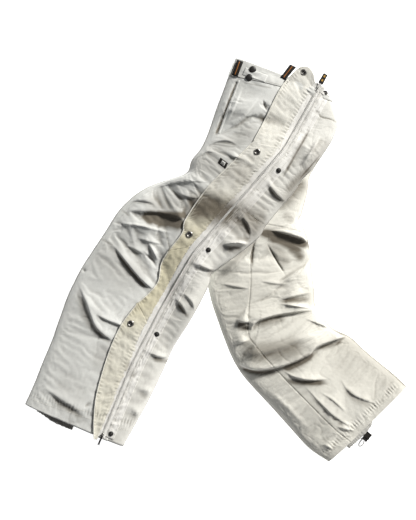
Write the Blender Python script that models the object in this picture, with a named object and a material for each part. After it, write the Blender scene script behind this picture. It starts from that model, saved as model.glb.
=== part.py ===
"""Ski pants with full-length side zips, laid flat on their right side.

Metres, +Z up, origin under the middle of the outline, on the surface that the pants lie on.
The waist points to +Y, the wearer's front to -X. The left leg is uppermost and steps forward;
the right leg lies under its seat and trails behind. The left zip is closed, and the storm flap
that covers it is unsnapped and laid open over the front of the leg.
"""

import math

import bmesh
import bpy
import numpy as np
from mathutils import Matrix, Vector

# ---- driving dimensions ---------------------------------------------------------------------
CLOTH = 0.002            # one lined layer of the shell
EDGE_RISE = 0.0032       # underside of an upper layer above the layer that it is folded onto
BAND_HEIGHT = 0.046      # waistband
LIFT = 0.0262            # the left leg rests this high where it lies on the right leg
TAPE_SLOT = 0.019        # slot between the panels that the zip tapes fill
CHAIN_WIDTH = 0.0075
CHAIN_THICK = 0.003
FLAP_THICK = 0.0016
FLAP_GAP = 0.0030          # the open flap rests this far over the leg
PLACKET_GAP = 0.0022
PLACKET_THICK = 0.0012
SNAP_RADIUS = 0.0078
STUD_RADIUS = 0.0060

# Each leg: the front edge and the back edge as it lies, from the waist to the hem, and the
# height that the upper layer arches over the lower one at the same stations.
LEFT_FRONT = [
    (0.049, 0.488), (0.018, 0.408), (-0.012, 0.325), (-0.037, 0.263), (-0.062, 0.213),
    (-0.135, 0.184), (-0.205, 0.146), (-0.266, 0.068), (-0.318, -0.010), (-0.358, -0.090),
    (-0.385, -0.166), (-0.420, -0.256), (-0.461, -0.350),
]
LEFT_BACK = [
    (0.277, 0.397), (0.293, 0.345), (0.284, 0.285), (0.250, 0.230), (0.212, 0.190),
    (0.175, 0.148), (0.121, 0.080), (0.050, 0.008), (-0.008, -0.035), (-0.030, -0.092),
    (-0.070, -0.162), (-0.125, -0.265), (-0.222, -0.450),
]
LEFT_CREST = [0.017, 0.020, 0.022, 0.022, 0.020, 0.018, 0.018, 0.019, 0.021, 0.022, 0.022, 0.021, 0.019]
RIGHT_FRONT = [
    (0.053, 0.480), (0.020, 0.398), (-0.006, 0.310), (-0.020, 0.220), (-0.024, 0.120),
    (-0.024, 0.030), (-0.019, -0.060), (0.006, -0.145), (0.040, -0.235), (0.090, -0.308),
    (0.178, -0.403), (0.274, -0.488),
]
RIGHT_BACK = [
    (0.273, 0.392), (0.289, 0.335), (0.262, 0.262), (0.228, 0.200), (0.209, 0.112),
    (0.220, 0.050), (0.233, -0.030), (0.238, -0.092), (0.262, -0.148), (0.330, -0.190),
    (0.395, -0.250), (0.461, -0.306),
]
RIGHT_CREST = [0.017, 0.018, 0.018, 0.018, 0.018, 0.018, 0.019, 0.021, 0.023, 0.023, 0.022, 0.019]

# The left zip and the fold line of its storm flap, with straight runs between the corners.
ZIP_CORNERS = [(0.251, 0.421), (0.164, 0.265), (0.110, 0.203), (0.002, 0.080), (-0.052, 0.018),
               (-0.133, -0.121), (-0.198, -0.246), (-0.275, -0.430)]
FLAP_FOLD = [(0.239, 0.421), (0.154, 0.265), (-0.060, 0.031), (-0.164, -0.151), (-0.284, -0.431)]
FLAP_EDGE = [
    [(0.206, 0.466), (0.174, 0.436), (0.149, 0.400), (0.115, 0.331), (0.088, 0.280)],
    [(0.088, 0.280), (0.037, 0.229), (-0.024, 0.167), (-0.073, 0.095), (-0.080, 0.064), (-0.114, 0.020)],
    [(-0.114, 0.020), (-0.131, -0.011), (-0.138, -0.052), (-0.162, -0.082), (-0.188, -0.104)],
    [(-0.188, -0.104), (-0.224, -0.152), (-0.249, -0.203), (-0.270, -0.264), (-0.286, -0.325),
     (-0.292, -0.380), (-0.292, -0.431)],
]
FLAP_NAMES = ["flap_waist", "flap_thigh", "flap_knee", "flap_shin"]
FLAP_AXIS_RISE = 0.0082  # the fold stands this high over the leg, so that the closed flap clears the zip
FLAP_TRIM = [(0.0, 0.02), (0.02, 0.25), (0.25, 0.16), (0.16, 0.0)]  # V cuts at its ends, share of width

SNAP_SOCKETS = [(0.212, 0.450), (0.099, 0.256), (-0.062, 0.060), (-0.203, -0.153)]
SNAP_SECTIONS = [0, 1, 1, 3]  # the flap section that holds each of them
SNAP_STUDS = [(0.264, 0.401), (0.150, 0.212), (-0.017, 0.023), (-0.141, -0.179), (-0.251, -0.418)]
WAIST_SNAPS = {"waist_snap_upper": (0.089, 0.456), "waist_snap_lower": (0.081, 0.437)}

HIP_PIVOT = Vector((0.102, 0.165, 0.0))
HIP_RADIUS = 0.137
PIVOT_CLEARANCE = 0.0032  # between the round ends of panels that turn past each other
KNEE_PIVOT = Vector((0.112, -0.088, 0.0))
KNEE_RADIUS = 0.140

CREAM = (0.80, 0.78, 0.70)
LINING = (0.76, 0.73, 0.60)
BLACK = (0.02, 0.018, 0.015)
METAL = (0.55, 0.54, 0.52)


# ---- curves and surfaces ---------------------------------------------------------------------
def smooth(low, high, x):
    x = min(max((x - low) / (high - low), 0.0), 1.0)
    return x * x * (3.0 - 2.0 * x)


def spline(points, t):
    """Catmull-Rom curve through the points, at t counted in points."""
    points = np.asarray(points, float)
    ends = [2 * points[0] - points[1], *points, 2 * points[-1] - points[-2]]
    i = int(min(max(math.floor(t), 0), len(points) - 2))
    f = t - i
    a, b, c, d = ends[i : i + 4]
    return 0.5 * (2 * b + (c - a) * f + (2 * a - 5 * b + 4 * c - d) * f**2
                  + (3 * b - a - 3 * c + d) * f**3)


def rounded(corners, cut, steps=6):
    """A path of straight runs whose corners are rounded from `cut` metres before to after them."""
    corners = [np.asarray(c, float) for c in corners]
    path = [corners[0]]
    for a, b, c in zip(corners, corners[1:], corners[2:]):
        before = b + (a - b) / np.linalg.norm(a - b) * cut
        after = b + (c - b) / np.linalg.norm(c - b) * cut
        for k in range(steps + 1):
            f = k / steps
            path.append((1 - f) ** 2 * before + 2 * f * (1 - f) * b + f * f * after)
    return path + [corners[-1]]


def along(path, share):
    """The point, and the unit direction, at a share of the path's length."""
    path = [np.asarray(p, float) for p in path]
    lengths = [np.linalg.norm(b - a) for a, b in zip(path, path[1:])]
    left = share * sum(lengths)
    for a, b, length in zip(path, path[1:], lengths):
        if left <= length + 1e-12:
            return a + (b - a) * left / length, (b - a) / length
        left -= length
    return path[-1], (path[-1] - path[-2]) / lengths[-1]


def side_of(path, point):
    """Signed distance from a plan path: positive towards the wearer's back."""
    points = np.asarray(path, float)[:, :2]
    starts, runs = points[:-1], points[1:] - points[:-1]
    shares = np.clip(((point - starts) * runs).sum(axis=1) / (runs**2).sum(axis=1), 0.0, 1.0)
    off = point - (starts + shares[:, None] * runs)
    distances = np.linalg.norm(off, axis=1)
    near = int(distances.argmin())
    left_hand = runs[near, 0] * off[near, 1] - runs[near, 1] * off[near, 0] > 0
    return distances[near] if left_hand else -distances[near]


class Leg:
    """A leg that lies flat: plan points by station t and by u from the front edge to the back."""

    def __init__(self, front, back, crest, lift):
        self.front, self.back, self.crest, self.lift = front, back, crest, lift
        self.last = len(front) - 1
        self.stations = np.linspace(-0.3, self.last + 0.3, 20 * self.last + 1)
        self.fronts = np.array([spline(front, t) for t in self.stations])
        self.across = np.array([spline(back, t) for t in self.stations]) - self.fronts

    def plan(self, t, u):
        return spline(self.front, t) * (1 - u) + spline(self.back, t) * u

    def base(self, x, y):
        """Height that the lower layer rests at."""
        return self.lift * smooth(-0.135, -0.034, x) * smooth(0.340, 0.215, y)

    def arch(self, t, u):
        crest = float(spline(self.crest, t))
        return crest * math.sqrt(max(4 * u * (1 - u), 0.0))

    def under(self, t, u):
        """Underside of the upper layer."""
        x, y = self.plan(t, u)
        return self.base(x, y) + EDGE_RISE + self.arch(t, u)

    def locate(self, x, y):
        """Station t and share u of a plan point."""
        off = np.array((x, y)) - self.fronts
        turns = self.across[:, 0] * off[:, 1] - self.across[:, 1] * off[:, 0]
        shares = (off * self.across).sum(axis=1) / (self.across**2).sum(axis=1)
        for k in np.nonzero(turns[:-1] * turns[1:] <= 0)[0]:
            f = turns[k] / (turns[k] - turns[k + 1])
            u = shares[k] + (shares[k + 1] - shares[k]) * f
            if -0.3 < u < 1.3:
                return self.stations[k] + (self.stations[k + 1] - self.stations[k]) * f, u
        return (0.0, 0.5) if y > 0 else (float(self.last), 0.5)

    def top_at(self, x, y):
        t, u = self.locate(x, y)
        t = min(max(t, 0.0), float(self.last))
        u = min(max(u, 0.0), 1.0)
        return self.base(x, y) + EDGE_RISE + self.arch(t, u) + CLOTH

    def u_beside(self, path, offset):
        """u(t) of the line that runs `offset` metres beside a plan path."""
        times = np.linspace(0.0, self.last, 8 * self.last + 1)
        found = []
        for t in times:
            low, high = 0.30, 1.0
            for _ in range(20):
                middle = (low + high) / 2
                if side_of(path, self.plan(t, middle)) < offset:
                    low = middle
                else:
                    high = middle
            found.append(low)
        return lambda t: float(np.interp(t, times, found))

    def t_round(self, pivot, radius, start, stop):
        """t(u) where the leg crosses a circle in plan, looked for from start to stop."""
        shares = np.linspace(0.0, 1.0, 33)
        centre = np.array(pivot[:2])
        found = []
        for u in shares:
            low, high = float(start), float(stop)
            inside = np.linalg.norm(self.plan(low, u) - centre) < radius
            for _ in range(20):
                middle = (low + high) / 2
                near = np.linalg.norm(self.plan(middle, u) - centre) < radius
                if near == inside:
                    low = middle
                else:
                    high = middle
            found.append(low)
        return lambda u: float(np.interp(u, shares, found))


LEFT = Leg(LEFT_FRONT, LEFT_BACK, LEFT_CREST, LIFT)
RIGHT = Leg(RIGHT_FRONT, RIGHT_BACK, RIGHT_CREST, 0.0)
ZIP_PLAN = rounded(ZIP_CORNERS, 0.028)


# ---- making objects --------------------------------------------------------------------------
def material(name, colour, roughness, metallic=0.0):
    found = bpy.data.materials.get(name)
    if found:
        return found
    made = bpy.data.materials.new(name)
    made.use_nodes = True
    shader = made.node_tree.nodes["Principled BSDF"]
    shader.inputs["Base Color"].default_value = (*colour, 1.0)
    shader.inputs["Roughness"].default_value = roughness
    shader.inputs["Metallic"].default_value = metallic
    return made


FINISH = {
    "shell": lambda: material("shell_fabric", CREAM, 0.8),
    "lining": lambda: material("flap_lining", LINING, 0.7),
    "zip": lambda: material("zip_white", (0.80, 0.80, 0.77), 0.5),
    "black": lambda: material("black_plastic", BLACK, 0.4),
    "metal": lambda: material("snap_metal", METAL, 0.3, 1.0),
    "webbing": lambda: material("black_webbing", (0.03, 0.022, 0.015), 0.8),
    "gaiter": lambda: material("gaiter_fabric", (0.12, 0.11, 0.09), 0.8),
    "pull": lambda: material("pull_cord_black", (0.025, 0.02, 0.016), 0.6),
    "label": lambda: material("label_rubber", (0.05, 0.05, 0.05), 0.6),
}


def add_object(name, mesh_data, finish, pivot=None):
    """One named object; a moving piece gets its origin on its joint's axis."""
    if pivot is not None:
        mesh_data.transform(Matrix.Translation(-Vector(pivot)))
    obj = bpy.data.objects.new(name, mesh_data)
    if pivot is not None:
        obj.location = pivot
    mesh_data.materials.append(FINISH[finish]())
    bpy.context.scene.collection.objects.link(obj)
    return obj


def from_bmesh(name, bm, finish, pivot=None):
    bmesh.ops.recalc_face_normals(bm, faces=bm.faces)
    if bm.calc_volume(signed=True) < 0:
        bmesh.ops.reverse_faces(bm, faces=bm.faces[:])
    data = bpy.data.meshes.new(name)
    bm.to_mesh(data)
    bm.free()
    data.shade_smooth()
    data.set_sharp_from_angle(angle=math.radians(40))
    return add_object(name, data, finish, pivot)


def sheet_object(name, upper, lower, finish, pivot=None):
    """A closed sheet from two grids of points, joined along all four borders."""
    rows, columns = len(upper), len(upper[0])
    bm = bmesh.new()
    top = [[bm.verts.new(p) for p in row] for row in upper]
    bottom = [[bm.verts.new(p) for p in row] for row in lower]
    for i in range(rows - 1):
        for j in range(columns - 1):
            bm.faces.new((top[i][j], top[i][j + 1], top[i + 1][j + 1], top[i + 1][j]))
            bm.faces.new((bottom[i][j], bottom[i + 1][j], bottom[i + 1][j + 1], bottom[i][j + 1]))
    rim = [(0, j) for j in range(columns)] + [(i, columns - 1) for i in range(1, rows)]
    rim += [(rows - 1, j) for j in range(columns - 2, -1, -1)] + [(i, 0) for i in range(rows - 2, 0, -1)]
    for (i, j), (k, m) in zip(rim, rim[1:] + rim[:1]):
        bm.faces.new((top[i][j], bottom[i][j], bottom[k][m], top[k][m]))
    return from_bmesh(name, bm, finish, pivot)


def fixed(value):
    return value if callable(value) else (lambda _: float(value))


def leg_panel(name, leg, u_from, u_to, t_from, t_to, columns, rows, lower=False, finish="shell", pivot=None):
    """A panel of a leg's upper layer, or of the lower one, between lines of u and of t."""
    u_from, u_to, t_from, t_to = fixed(u_from), fixed(u_to), fixed(t_from), fixed(t_to)
    upper_points, lower_points = [], []
    for i in range(rows + 1):
        above, below = [], []
        for j in range(columns + 1):
            t, u = (t_from(0.5) * (rows - i) + t_to(0.5) * i) / rows, 0.5
            for _ in range(8):
                start, end = math.acos(1 - 2 * u_from(t)), math.acos(1 - 2 * u_to(t))
                u = (1 - math.cos(start + (end - start) * j / columns)) / 2
                t = (t_from(u) * (rows - i) + t_to(u) * i) / rows
            x, y = leg.plan(t, u)
            floor = leg.base(x, y) if lower else leg.under(t, u)
            above.append((x, y, floor + CLOTH))
            below.append((x, y, floor))
        upper_points.append(above)
        lower_points.append(below)
    return sheet_object(name, upper_points, lower_points, finish, pivot)


def patch(name, plan_of, columns, rows, gap, thick, finish, leg=LEFT, pivot=None):
    """A thin piece that lies on a leg; plan_of(a, b) gives its plan points for a, b from 0 to 1."""
    above, below = [], []
    for i in range(rows + 1):
        row = [plan_of(j / columns, i / rows) for j in range(columns + 1)]
        below.append([(x, y, leg.top_at(x, y) + gap) for x, y in row])
        above.append([(x, y, leg.top_at(x, y) + gap + thick) for x, y in row])
    return sheet_object(name, above, below, finish, pivot)


def quad(a, b, c, d):
    """Plan points inside four corners: a to b across, a to d along."""
    a, b, c, d = (np.asarray(p, float) for p in (a, b, c, d))
    return lambda s, r: (a * (1 - s) + b * s) * (1 - r) + (d * (1 - s) + c * s) * r


def turned(name, profile, centre, finish, sides=16, pivot=None, axis=(0, 0, 1)):
    """A round piece turned from (radius, height) points, from its lower middle to its upper middle."""
    bm = bmesh.new()
    rings = []
    for radius, height in profile:
        if radius == 0:
            rings.append([bm.verts.new((0, 0, height))])
            continue
        angles = [2 * math.pi * k / sides for k in range(sides)]
        rings.append([bm.verts.new((radius * math.cos(a), radius * math.sin(a), height)) for a in angles])
    for low, high in zip(rings, rings[1:]):
        for k in range(sides):
            a, b = low[k % len(low)], low[(k + 1) % len(low)]
            c, d = high[(k + 1) % len(high)], high[k % len(high)]
            corners = [v for n, v in enumerate((a, b, c, d)) if v not in (a, b, c, d)[:n]]
            bm.faces.new(corners)
    turn = Vector((0, 0, 1)).rotation_difference(Vector(axis)).to_matrix().to_4x4()
    bm.transform(Matrix.Translation(Vector(centre)) @ turn)
    return from_bmesh(name, bm, finish, pivot)


def block(name, centre, size, direction, finish, pivot=None, bevel=0.0012, tilt=0.0):
    """A bevelled box whose length runs along a plan direction, rising by `tilt` per metre."""
    bm = bmesh.new()
    bmesh.ops.create_cube(bm, size=1.0)
    bm.transform(Matrix.Diagonal((*size, 1.0)))
    width = min(bevel, min(size) / 4)
    bmesh.ops.bevel(bm, geom=bm.edges[:], offset=width, segments=2, affect="EDGES", profile=0.5)
    forward = Vector((direction[0], direction[1], tilt)).normalized()
    side = Vector((0, 0, 1)).cross(forward).normalized()
    up = forward.cross(side)
    frame = Matrix((forward, side, up)).transposed().to_4x4()
    bm.transform(Matrix.Translation(Vector(centre)) @ frame)
    return from_bmesh(name, bm, finish, pivot)


def rod(name, points, radius, finish, pivot=None, closed=False):
    """A bent wire through the points."""
    curve = bpy.data.curves.new(name, "CURVE")
    curve.dimensions = "3D"
    curve.bevel_depth = radius
    curve.bevel_resolution = 2
    curve.use_fill_caps = not closed
    line = curve.splines.new("POLY")
    line.points.add(len(points) - 1)
    line.use_cyclic_u = closed
    for target, point in zip(line.points, points):
        target.co = (*(Vector(point) - Vector(pivot or (0, 0, 0))), 1.0)
    obj = bpy.data.objects.new(name, curve)
    obj.location = pivot or (0, 0, 0)
    curve.materials.append(FINISH[finish]())
    bpy.context.scene.collection.objects.link(obj)
    return obj


# ---- the shell -------------------------------------------------------------------------------
def band_t(leg):
    """t(u) of the waistband's lower edge."""

    def t_of(u):
        step = np.linalg.norm(leg.plan(1, u) - leg.plan(0, u))
        return BAND_HEIGHT / step

    return t_of


def after(t_line, distance=0.004):
    line = fixed(t_line)
    return lambda u: line(u) + distance


def make_waistband():
    before_zip = LEFT.u_beside(ZIP_PLAN, -TAPE_SLOT / 2)
    behind_zip = LEFT.u_beside(ZIP_PLAN, TAPE_SLOT / 2)
    leg_panel("waistband_left_front", LEFT, 0.0, before_zip, 0.0, band_t(LEFT), 8, 2)
    leg_panel("waistband_left_back", LEFT, behind_zip, 1.0, 0.0, band_t(LEFT), 4, 2)
    leg_panel("waistband_right", RIGHT, 0.004, 0.996, 0.02, band_t(RIGHT), 6, 2, lower=True)


def make_left_leg():
    before_zip = LEFT.u_beside(ZIP_PLAN, -TAPE_SLOT / 2)
    behind_zip = LEFT.u_beside(ZIP_PLAN, TAPE_SLOT / 2)
    hip, knee, shin = 4.0, 6.35, 8.6
    front = [("hip", after(band_t(LEFT), 0.008), hip), ("thigh", hip + 0.008, knee),
             ("knee", knee + 0.008, shin), ("shin", shin + 0.008, LEFT.last)]
    for part, start, end in front:
        leg_panel(f"left_{part}_front_panel", LEFT, 0.0, before_zip, start, end, 9, 7)
    back = [("yoke", after(band_t(LEFT), 0.008), 1.6), ("seat", 1.608, 4.6),
            ("thigh_back", 4.608, 7.6), ("calf", 7.608, LEFT.last)]
    for part, start, end in back:
        rows = 2 if part == "yoke" else 9
        leg_panel(f"left_{part}_panel", LEFT, behind_zip, 1.0, start, end, 5, rows)
    leg_panel("left_inner_thigh_panel", LEFT, 0.0, 1.0, 4.4, 8.0, 12, 9, lower=True)
    leg_panel("left_inner_shin_panel", LEFT, 0.0, 1.0, 8.008, LEFT.last - 0.02, 12, 8, lower=True)


def make_right_leg():
    hip_above = RIGHT.t_round(HIP_PIVOT, HIP_RADIUS + PIVOT_CLEARANCE, 0.8, 3.2)
    hip = RIGHT.t_round(HIP_PIVOT, HIP_RADIUS, 0.8, 3.2)
    knee = RIGHT.t_round(KNEE_PIVOT, KNEE_RADIUS, 6.3, 9.6)
    knee_below = RIGHT.t_round(KNEE_PIVOT, KNEE_RADIUS + PIVOT_CLEARANCE, 6.3, 9.6)
    leg_panel("right_hip_panel", RIGHT, 0.0, 1.0, after(band_t(RIGHT), 0.008), hip_above, 8, 4, lower=True)
    leg_panel("right_thigh_outer_panel", RIGHT, 0.0, 1.0, hip, knee, 8, 10, lower=True, pivot=HIP_PIVOT)
    inseam, beyond = 0.43, 0.433
    crotch = 3.6
    leg_panel("right_thigh_front_panel", RIGHT, 0.0, inseam, crotch, knee, 6, 8, pivot=HIP_PIVOT)
    leg_panel("right_thigh_back_panel", RIGHT, beyond, 1.0, crotch, knee, 6, 8, pivot=HIP_PIVOT)
    end = RIGHT.last
    leg_panel("right_shin_outer_panel", RIGHT, 0.0, 1.0, knee_below, end - 0.02, 8, 6, lower=True, pivot=KNEE_PIVOT)
    leg_panel("right_shin_front_panel", RIGHT, 0.0, inseam, knee_below, end, 6, 6, pivot=KNEE_PIVOT)
    leg_panel("right_calf_panel", RIGHT, beyond, 1.0, knee_below, end, 6, 6, pivot=KNEE_PIVOT)


def make_gaiter(name, leg, u_from, u_to, reach, pivot=None):
    """The elastic snow gaiter inside a hem: a flattened ring that peeps out of the leg."""
    around, rows, thick = 20, 4, 0.0012
    bm = bmesh.new()
    rings = {}
    for shell in ("outer", "inner"):
        for i in range(rows + 1):
            ring = []
            for k in range(around):
                angle = 2 * math.pi * k / around
                u = u_from + (u_to - u_from) * (1 - math.cos(angle)) / 2
                share = i / rows
                t = leg.last - 0.55 * (1 - share) + reach(u) * share
                x, y = leg.plan(t, u)
                inside = leg.arch(min(t, leg.last), u) - 0.003
                low = leg.base(x, y) + CLOTH + 0.0008
                high = max(low + 0.0045, leg.base(x, y) + EDGE_RISE + inside)
                middle, half = (low + high) / 2, (high - low) / 2 * math.sin(angle)
                shrink = 0.0 if shell == "outer" else thick
                size = max(abs(half) - shrink, 0.0)
                z = middle + math.copysign(size, half)
                along_u = leg.plan(t, 1.0) - leg.plan(t, 0.0)
                pull = shrink * math.cos(angle) / np.linalg.norm(along_u)
                x, y = np.array((x, y)) + along_u * pull
                ring.append(bm.verts.new((x, y, z)))
            rings[shell, i] = ring
    for i in range(rows):
        for k in range(around):
            n = (k + 1) % around
            outer, inner = rings["outer", i], rings["inner", i]
            outer_next, inner_next = rings["outer", i + 1], rings["inner", i + 1]
            bm.faces.new((outer[k], outer[n], outer_next[n], outer_next[k]))
            bm.faces.new((inner[k], inner_next[k], inner_next[n], inner[n]))
    for i in (0, rows):
        for k in range(around):
            n = (k + 1) % around
            bm.faces.new((rings["outer", i][k], rings["outer", i][n], rings["inner", i][n], rings["inner", i][k]))
    return from_bmesh(name, bm, "gaiter", pivot)


# ---- the zip ---------------------------------------------------------------------------------
def zip_path():
    """The chain's route in 3-D: straight between its corners, at the height of the leg there."""
    corners = []
    for x, y in ZIP_CORNERS:
        corners.append((x, y, LEFT.top_at(x, y)))
    return rounded(corners, 0.028)


def ribbon(name, path, offsets, low, high, steps, finish, start=0.0, end=1.0):
    """A flat strip beside a 3-D path, from one sideways offset to another."""
    above, below = [], []
    for i in range(steps + 1):
        point, direction = along(path, start + (end - start) * i / steps)
        side = np.array((-direction[1], direction[0]))
        side /= np.linalg.norm(side)
        row = [point[:2] + side * offset for offset in offsets]
        above.append([(x, y, point[2] + high) for x, y in row])
        below.append([(x, y, point[2] + low) for x, y in row])
    return sheet_object(name, above, below, finish)


def make_zip():
    path = zip_path()
    half = CHAIN_WIDTH / 2
    slot = TAPE_SLOT / 2 - 0.0012
    ribbon("zip_chain", path, (-half, half), -CHAIN_THICK, 0.0, 44, "zip", 0.004, 0.992)
    ribbon("zip_tape_front", path, (-slot, -half - 0.0004), -0.0022, -0.0008, 44, "zip", 0.0, 0.996)
    ribbon("zip_tape_back", path, (half + 0.0004, slot), -0.0022, -0.0008, 44, "zip", 0.0, 0.996)

    def placket(a, b):
        point, direction = along(path, 0.02 + 0.96 * b)
        side = np.array((-direction[1], direction[0])) / np.linalg.norm(direction[:2])
        width = 0.034 * (1 - 0.35 * smooth(0.4, 0.6, b))
        return point[:2] + side * (TAPE_SLOT / 2 + 0.0015 + width * a)

    patch("zip_placket", placket, 3, 44, PLACKET_GAP, PLACKET_THICK, "shell")


def make_slider(name, pull_name, corner, toward, pull_length, pull_width, pull_turn):
    """A slider on the chain, `toward` the next corner, and the pull that lies on its far side."""
    path = zip_path()
    start, end = np.array(path[corner]), np.array(path[toward])
    direction = (end - start) / np.linalg.norm(end - start)
    centre = Vector(start + direction * 0.012)
    centre.z += 0.0034
    tilt = direction[2] / np.linalg.norm(direction[:2])
    block(f"{name}_body", centre, (0.017, 0.0115, 0.0050), direction[:2] / np.linalg.norm(direction[:2]),
          "zip", pivot=centre, tilt=tilt)
    away = Matrix.Rotation(pull_turn, 3, "Z") @ Vector((-direction[0], -direction[1], 0)).normalized()
    hinge = centre + Vector((0, 0, 0.0042)) - Vector(direction) * 0.004
    lie = hinge + away * (0.0045 + pull_length / 2)
    block(pull_name, lie, (pull_length, pull_width, 0.0022), away[:2], "pull", pivot=hinge)
    return centre, direction, hinge, away


# ---- the storm flap --------------------------------------------------------------------------
def flap_axis(index):
    """The two ends of a flap section's fold line, high enough to clear the leg between them."""
    a, b = (np.asarray(p, float) for p in FLAP_FOLD[index : index + 2])
    heights = [LEFT.top_at(*(a + (b - a) * k / 12)) for k in range(13)]
    line = [heights[0] + (heights[-1] - heights[0]) * k / 12 for k in range(13)]
    rise = max(h - g for h, g in zip(heights, line)) + FLAP_AXIS_RISE
    return Vector((*a, heights[0] + rise)), Vector((*b, heights[-1] + rise))


def make_flap(index):
    """One section: straight along its fold, curved along its free edge, resting on the leg."""
    start, end = flap_axis(index)
    edge = FLAP_EDGE[index]
    first, last = FLAP_TRIM[index]
    columns, rows = 6, 10

    def plan_of(a, b):
        fold = np.array(start[:2]) * (1 - b) + np.array(end[:2]) * b
        free = spline(edge, b * (len(edge) - 1))
        along_fold = (np.array(end[:2]) - np.array(start[:2]))
        squeeze = first * (1 - b) - last * b
        width = np.linalg.norm(free - fold)
        shift = along_fold / np.linalg.norm(along_fold) * squeeze * width
        inset = 0.0006 / np.linalg.norm(along_fold) * (1 - 2 * b)
        return fold + (free - fold) * a + shift * a + along_fold * inset

    above, below = [], []
    for i in range(rows + 1):
        b = i / rows
        top, bottom = [], []
        for j in range(columns + 1):
            a = 0.02 + 0.98 * j / columns
            x, y = plan_of(a, b)
            axis_z = start.z * (1 - b) + end.z * b
            lying = LEFT.top_at(x, y) + FLAP_GAP
            blend = smooth(0.0, 0.30, a)
            z = (axis_z - FLAP_THICK / 2) * (1 - blend) + lying * blend
            z = max(z, lying)
            bottom.append((x, y, z))
            top.append((x, y, z + FLAP_THICK))
        above.append(top)
        below.append(bottom)
    sheet_object(FLAP_NAMES[index], above, below, "lining", pivot=start)
    return plan_of


def snap_height(x, y, radius, extra):
    ring = [LEFT.top_at(x + radius * math.cos(a), y + radius * math.sin(a)) for a in np.linspace(0, 5.5, 8)]
    return max(ring) + extra


def make_snaps():
    for number, (x, y) in enumerate(SNAP_SOCKETS):
        z = snap_height(x, y, SNAP_RADIUS, FLAP_GAP + FLAP_THICK + 0.0008)
        ring = [(0, z), (SNAP_RADIUS, z), (SNAP_RADIUS, z + 0.0010), (0.0060, z + 0.0022),
                (0.0038, z + 0.0022), (0.0034, z + 0.0008), (0, z + 0.0008)]
        turned(f"flap_snap_socket_{number + 1}", ring, (x, y, 0), "metal", pivot=flap_axis(SNAP_SECTIONS[number])[0])
    for number, (x, y) in enumerate(SNAP_STUDS):
        z = snap_height(x, y, STUD_RADIUS, PLACKET_GAP + PLACKET_THICK + 0.0006)
        stud = [(0, z), (STUD_RADIUS, z), (STUD_RADIUS, z + 0.0008), (0.0026, z + 0.0012),
                (0.0022, z + 0.0030), (0.0010, z + 0.0034), (0, z + 0.0034)]
        turned(f"zip_stud_{number + 1}", stud, (x, y, 0), "black")
    for name, (x, y) in WAIST_SNAPS.items():
        z = snap_height(x, y, 0.0085, 0.0018)
        cap = [(0, z), (0.0085, z), (0.0085, z + 0.0010), (0.0074, z + 0.0024), (0.0040, z + 0.0032), (0, z + 0.0034)]
        turned(name, cap, (x, y, 0), "black", sides=20)


# ---- trim ------------------------------------------------------------------------------------
def make_trim():
    loops = {"belt_loop_front": [(0.046, 0.483), (0.061, 0.478), (0.047, 0.441), (0.033, 0.446)],
             "belt_loop_side": [(0.179, 0.469), (0.194, 0.462), (0.1675, 0.431), (0.155, 0.437)]}
    for name, corners in loops.items():
        patch(name, quad(*corners), 2, 5, 0.0014, 0.0022, "webbing")
    patch("hand_pocket_welt", quad((0.050, 0.432), (0.060, 0.428), (0.010, 0.300), (0.000, 0.304)), 2, 8,
          0.0018, 0.0012, "shell")
    patch("thigh_label", quad((0.009, 0.243), (0.027, 0.229), (0.021, 0.216), (0.003, 0.230)), 2, 2, 0.0012,
          0.0010, "label")
    patch("waist_tab", quad((0.072, 0.462), (0.126, 0.442), (0.118, 0.424), (0.064, 0.444)), 4, 2, 0.0006,
          0.0008, "shell")


def make_boot_hook():
    """The lace hook on its webbing stub at the right hem."""
    x, y = 0.364, -0.428
    out = np.array((-0.62, -0.78))
    block("hook_webbing", (x + 0.003, y + 0.004, 0.0085), (0.014, 0.015, 0.0030), out, "webbing", pivot=KNEE_PIVOT,
          bevel=0.0006)
    pivot = Vector((x - 0.004, y - 0.005, 0.0085))
    side = np.array((-out[1], out[0]))
    wire = []
    for across, reach in ((-0.004, 0.001), (-0.0045, 0.010), (-0.003, 0.019), (0.0, 0.023),
                          (0.003, 0.020), (0.0045, 0.012), (0.004, 0.001)):
        px, py = np.array(pivot[:2]) + out * reach + side * across
        wire.append((px, py, pivot.z))
    rod("boot_lace_hook", wire, 0.0009, "metal", pivot=pivot, closed=True)


def main():
    for obj in list(bpy.data.objects):
        bpy.data.objects.remove(obj)
    make_waistband()
    make_left_leg()
    make_right_leg()
    make_gaiter("left_gaiter", LEFT, 0.10, 0.56, lambda u: 0.13)
    make_gaiter("right_gaiter", RIGHT, 0.28, 0.80, lambda u: 0.12, pivot=KNEE_PIVOT)
    make_zip()
    make_slider("top_slider", "top_slider_pull", 0, 1, 0.024, 0.0095, 0.0)
    make_slider("bottom_slider", "bottom_slider_pull", -1, -2, 0.012, 0.0040, 0.0)
    for index in range(4):
        make_flap(index)
    make_snaps()
    make_trim()
    make_boot_hook()


main()
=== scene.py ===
"""Looks of the ski pants: folded cloth, zip, storm flap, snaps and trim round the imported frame."""

import math

import bmesh
import bpy
import numpy as np
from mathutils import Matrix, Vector
from mathutils.bvhtree import BVHTree


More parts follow.
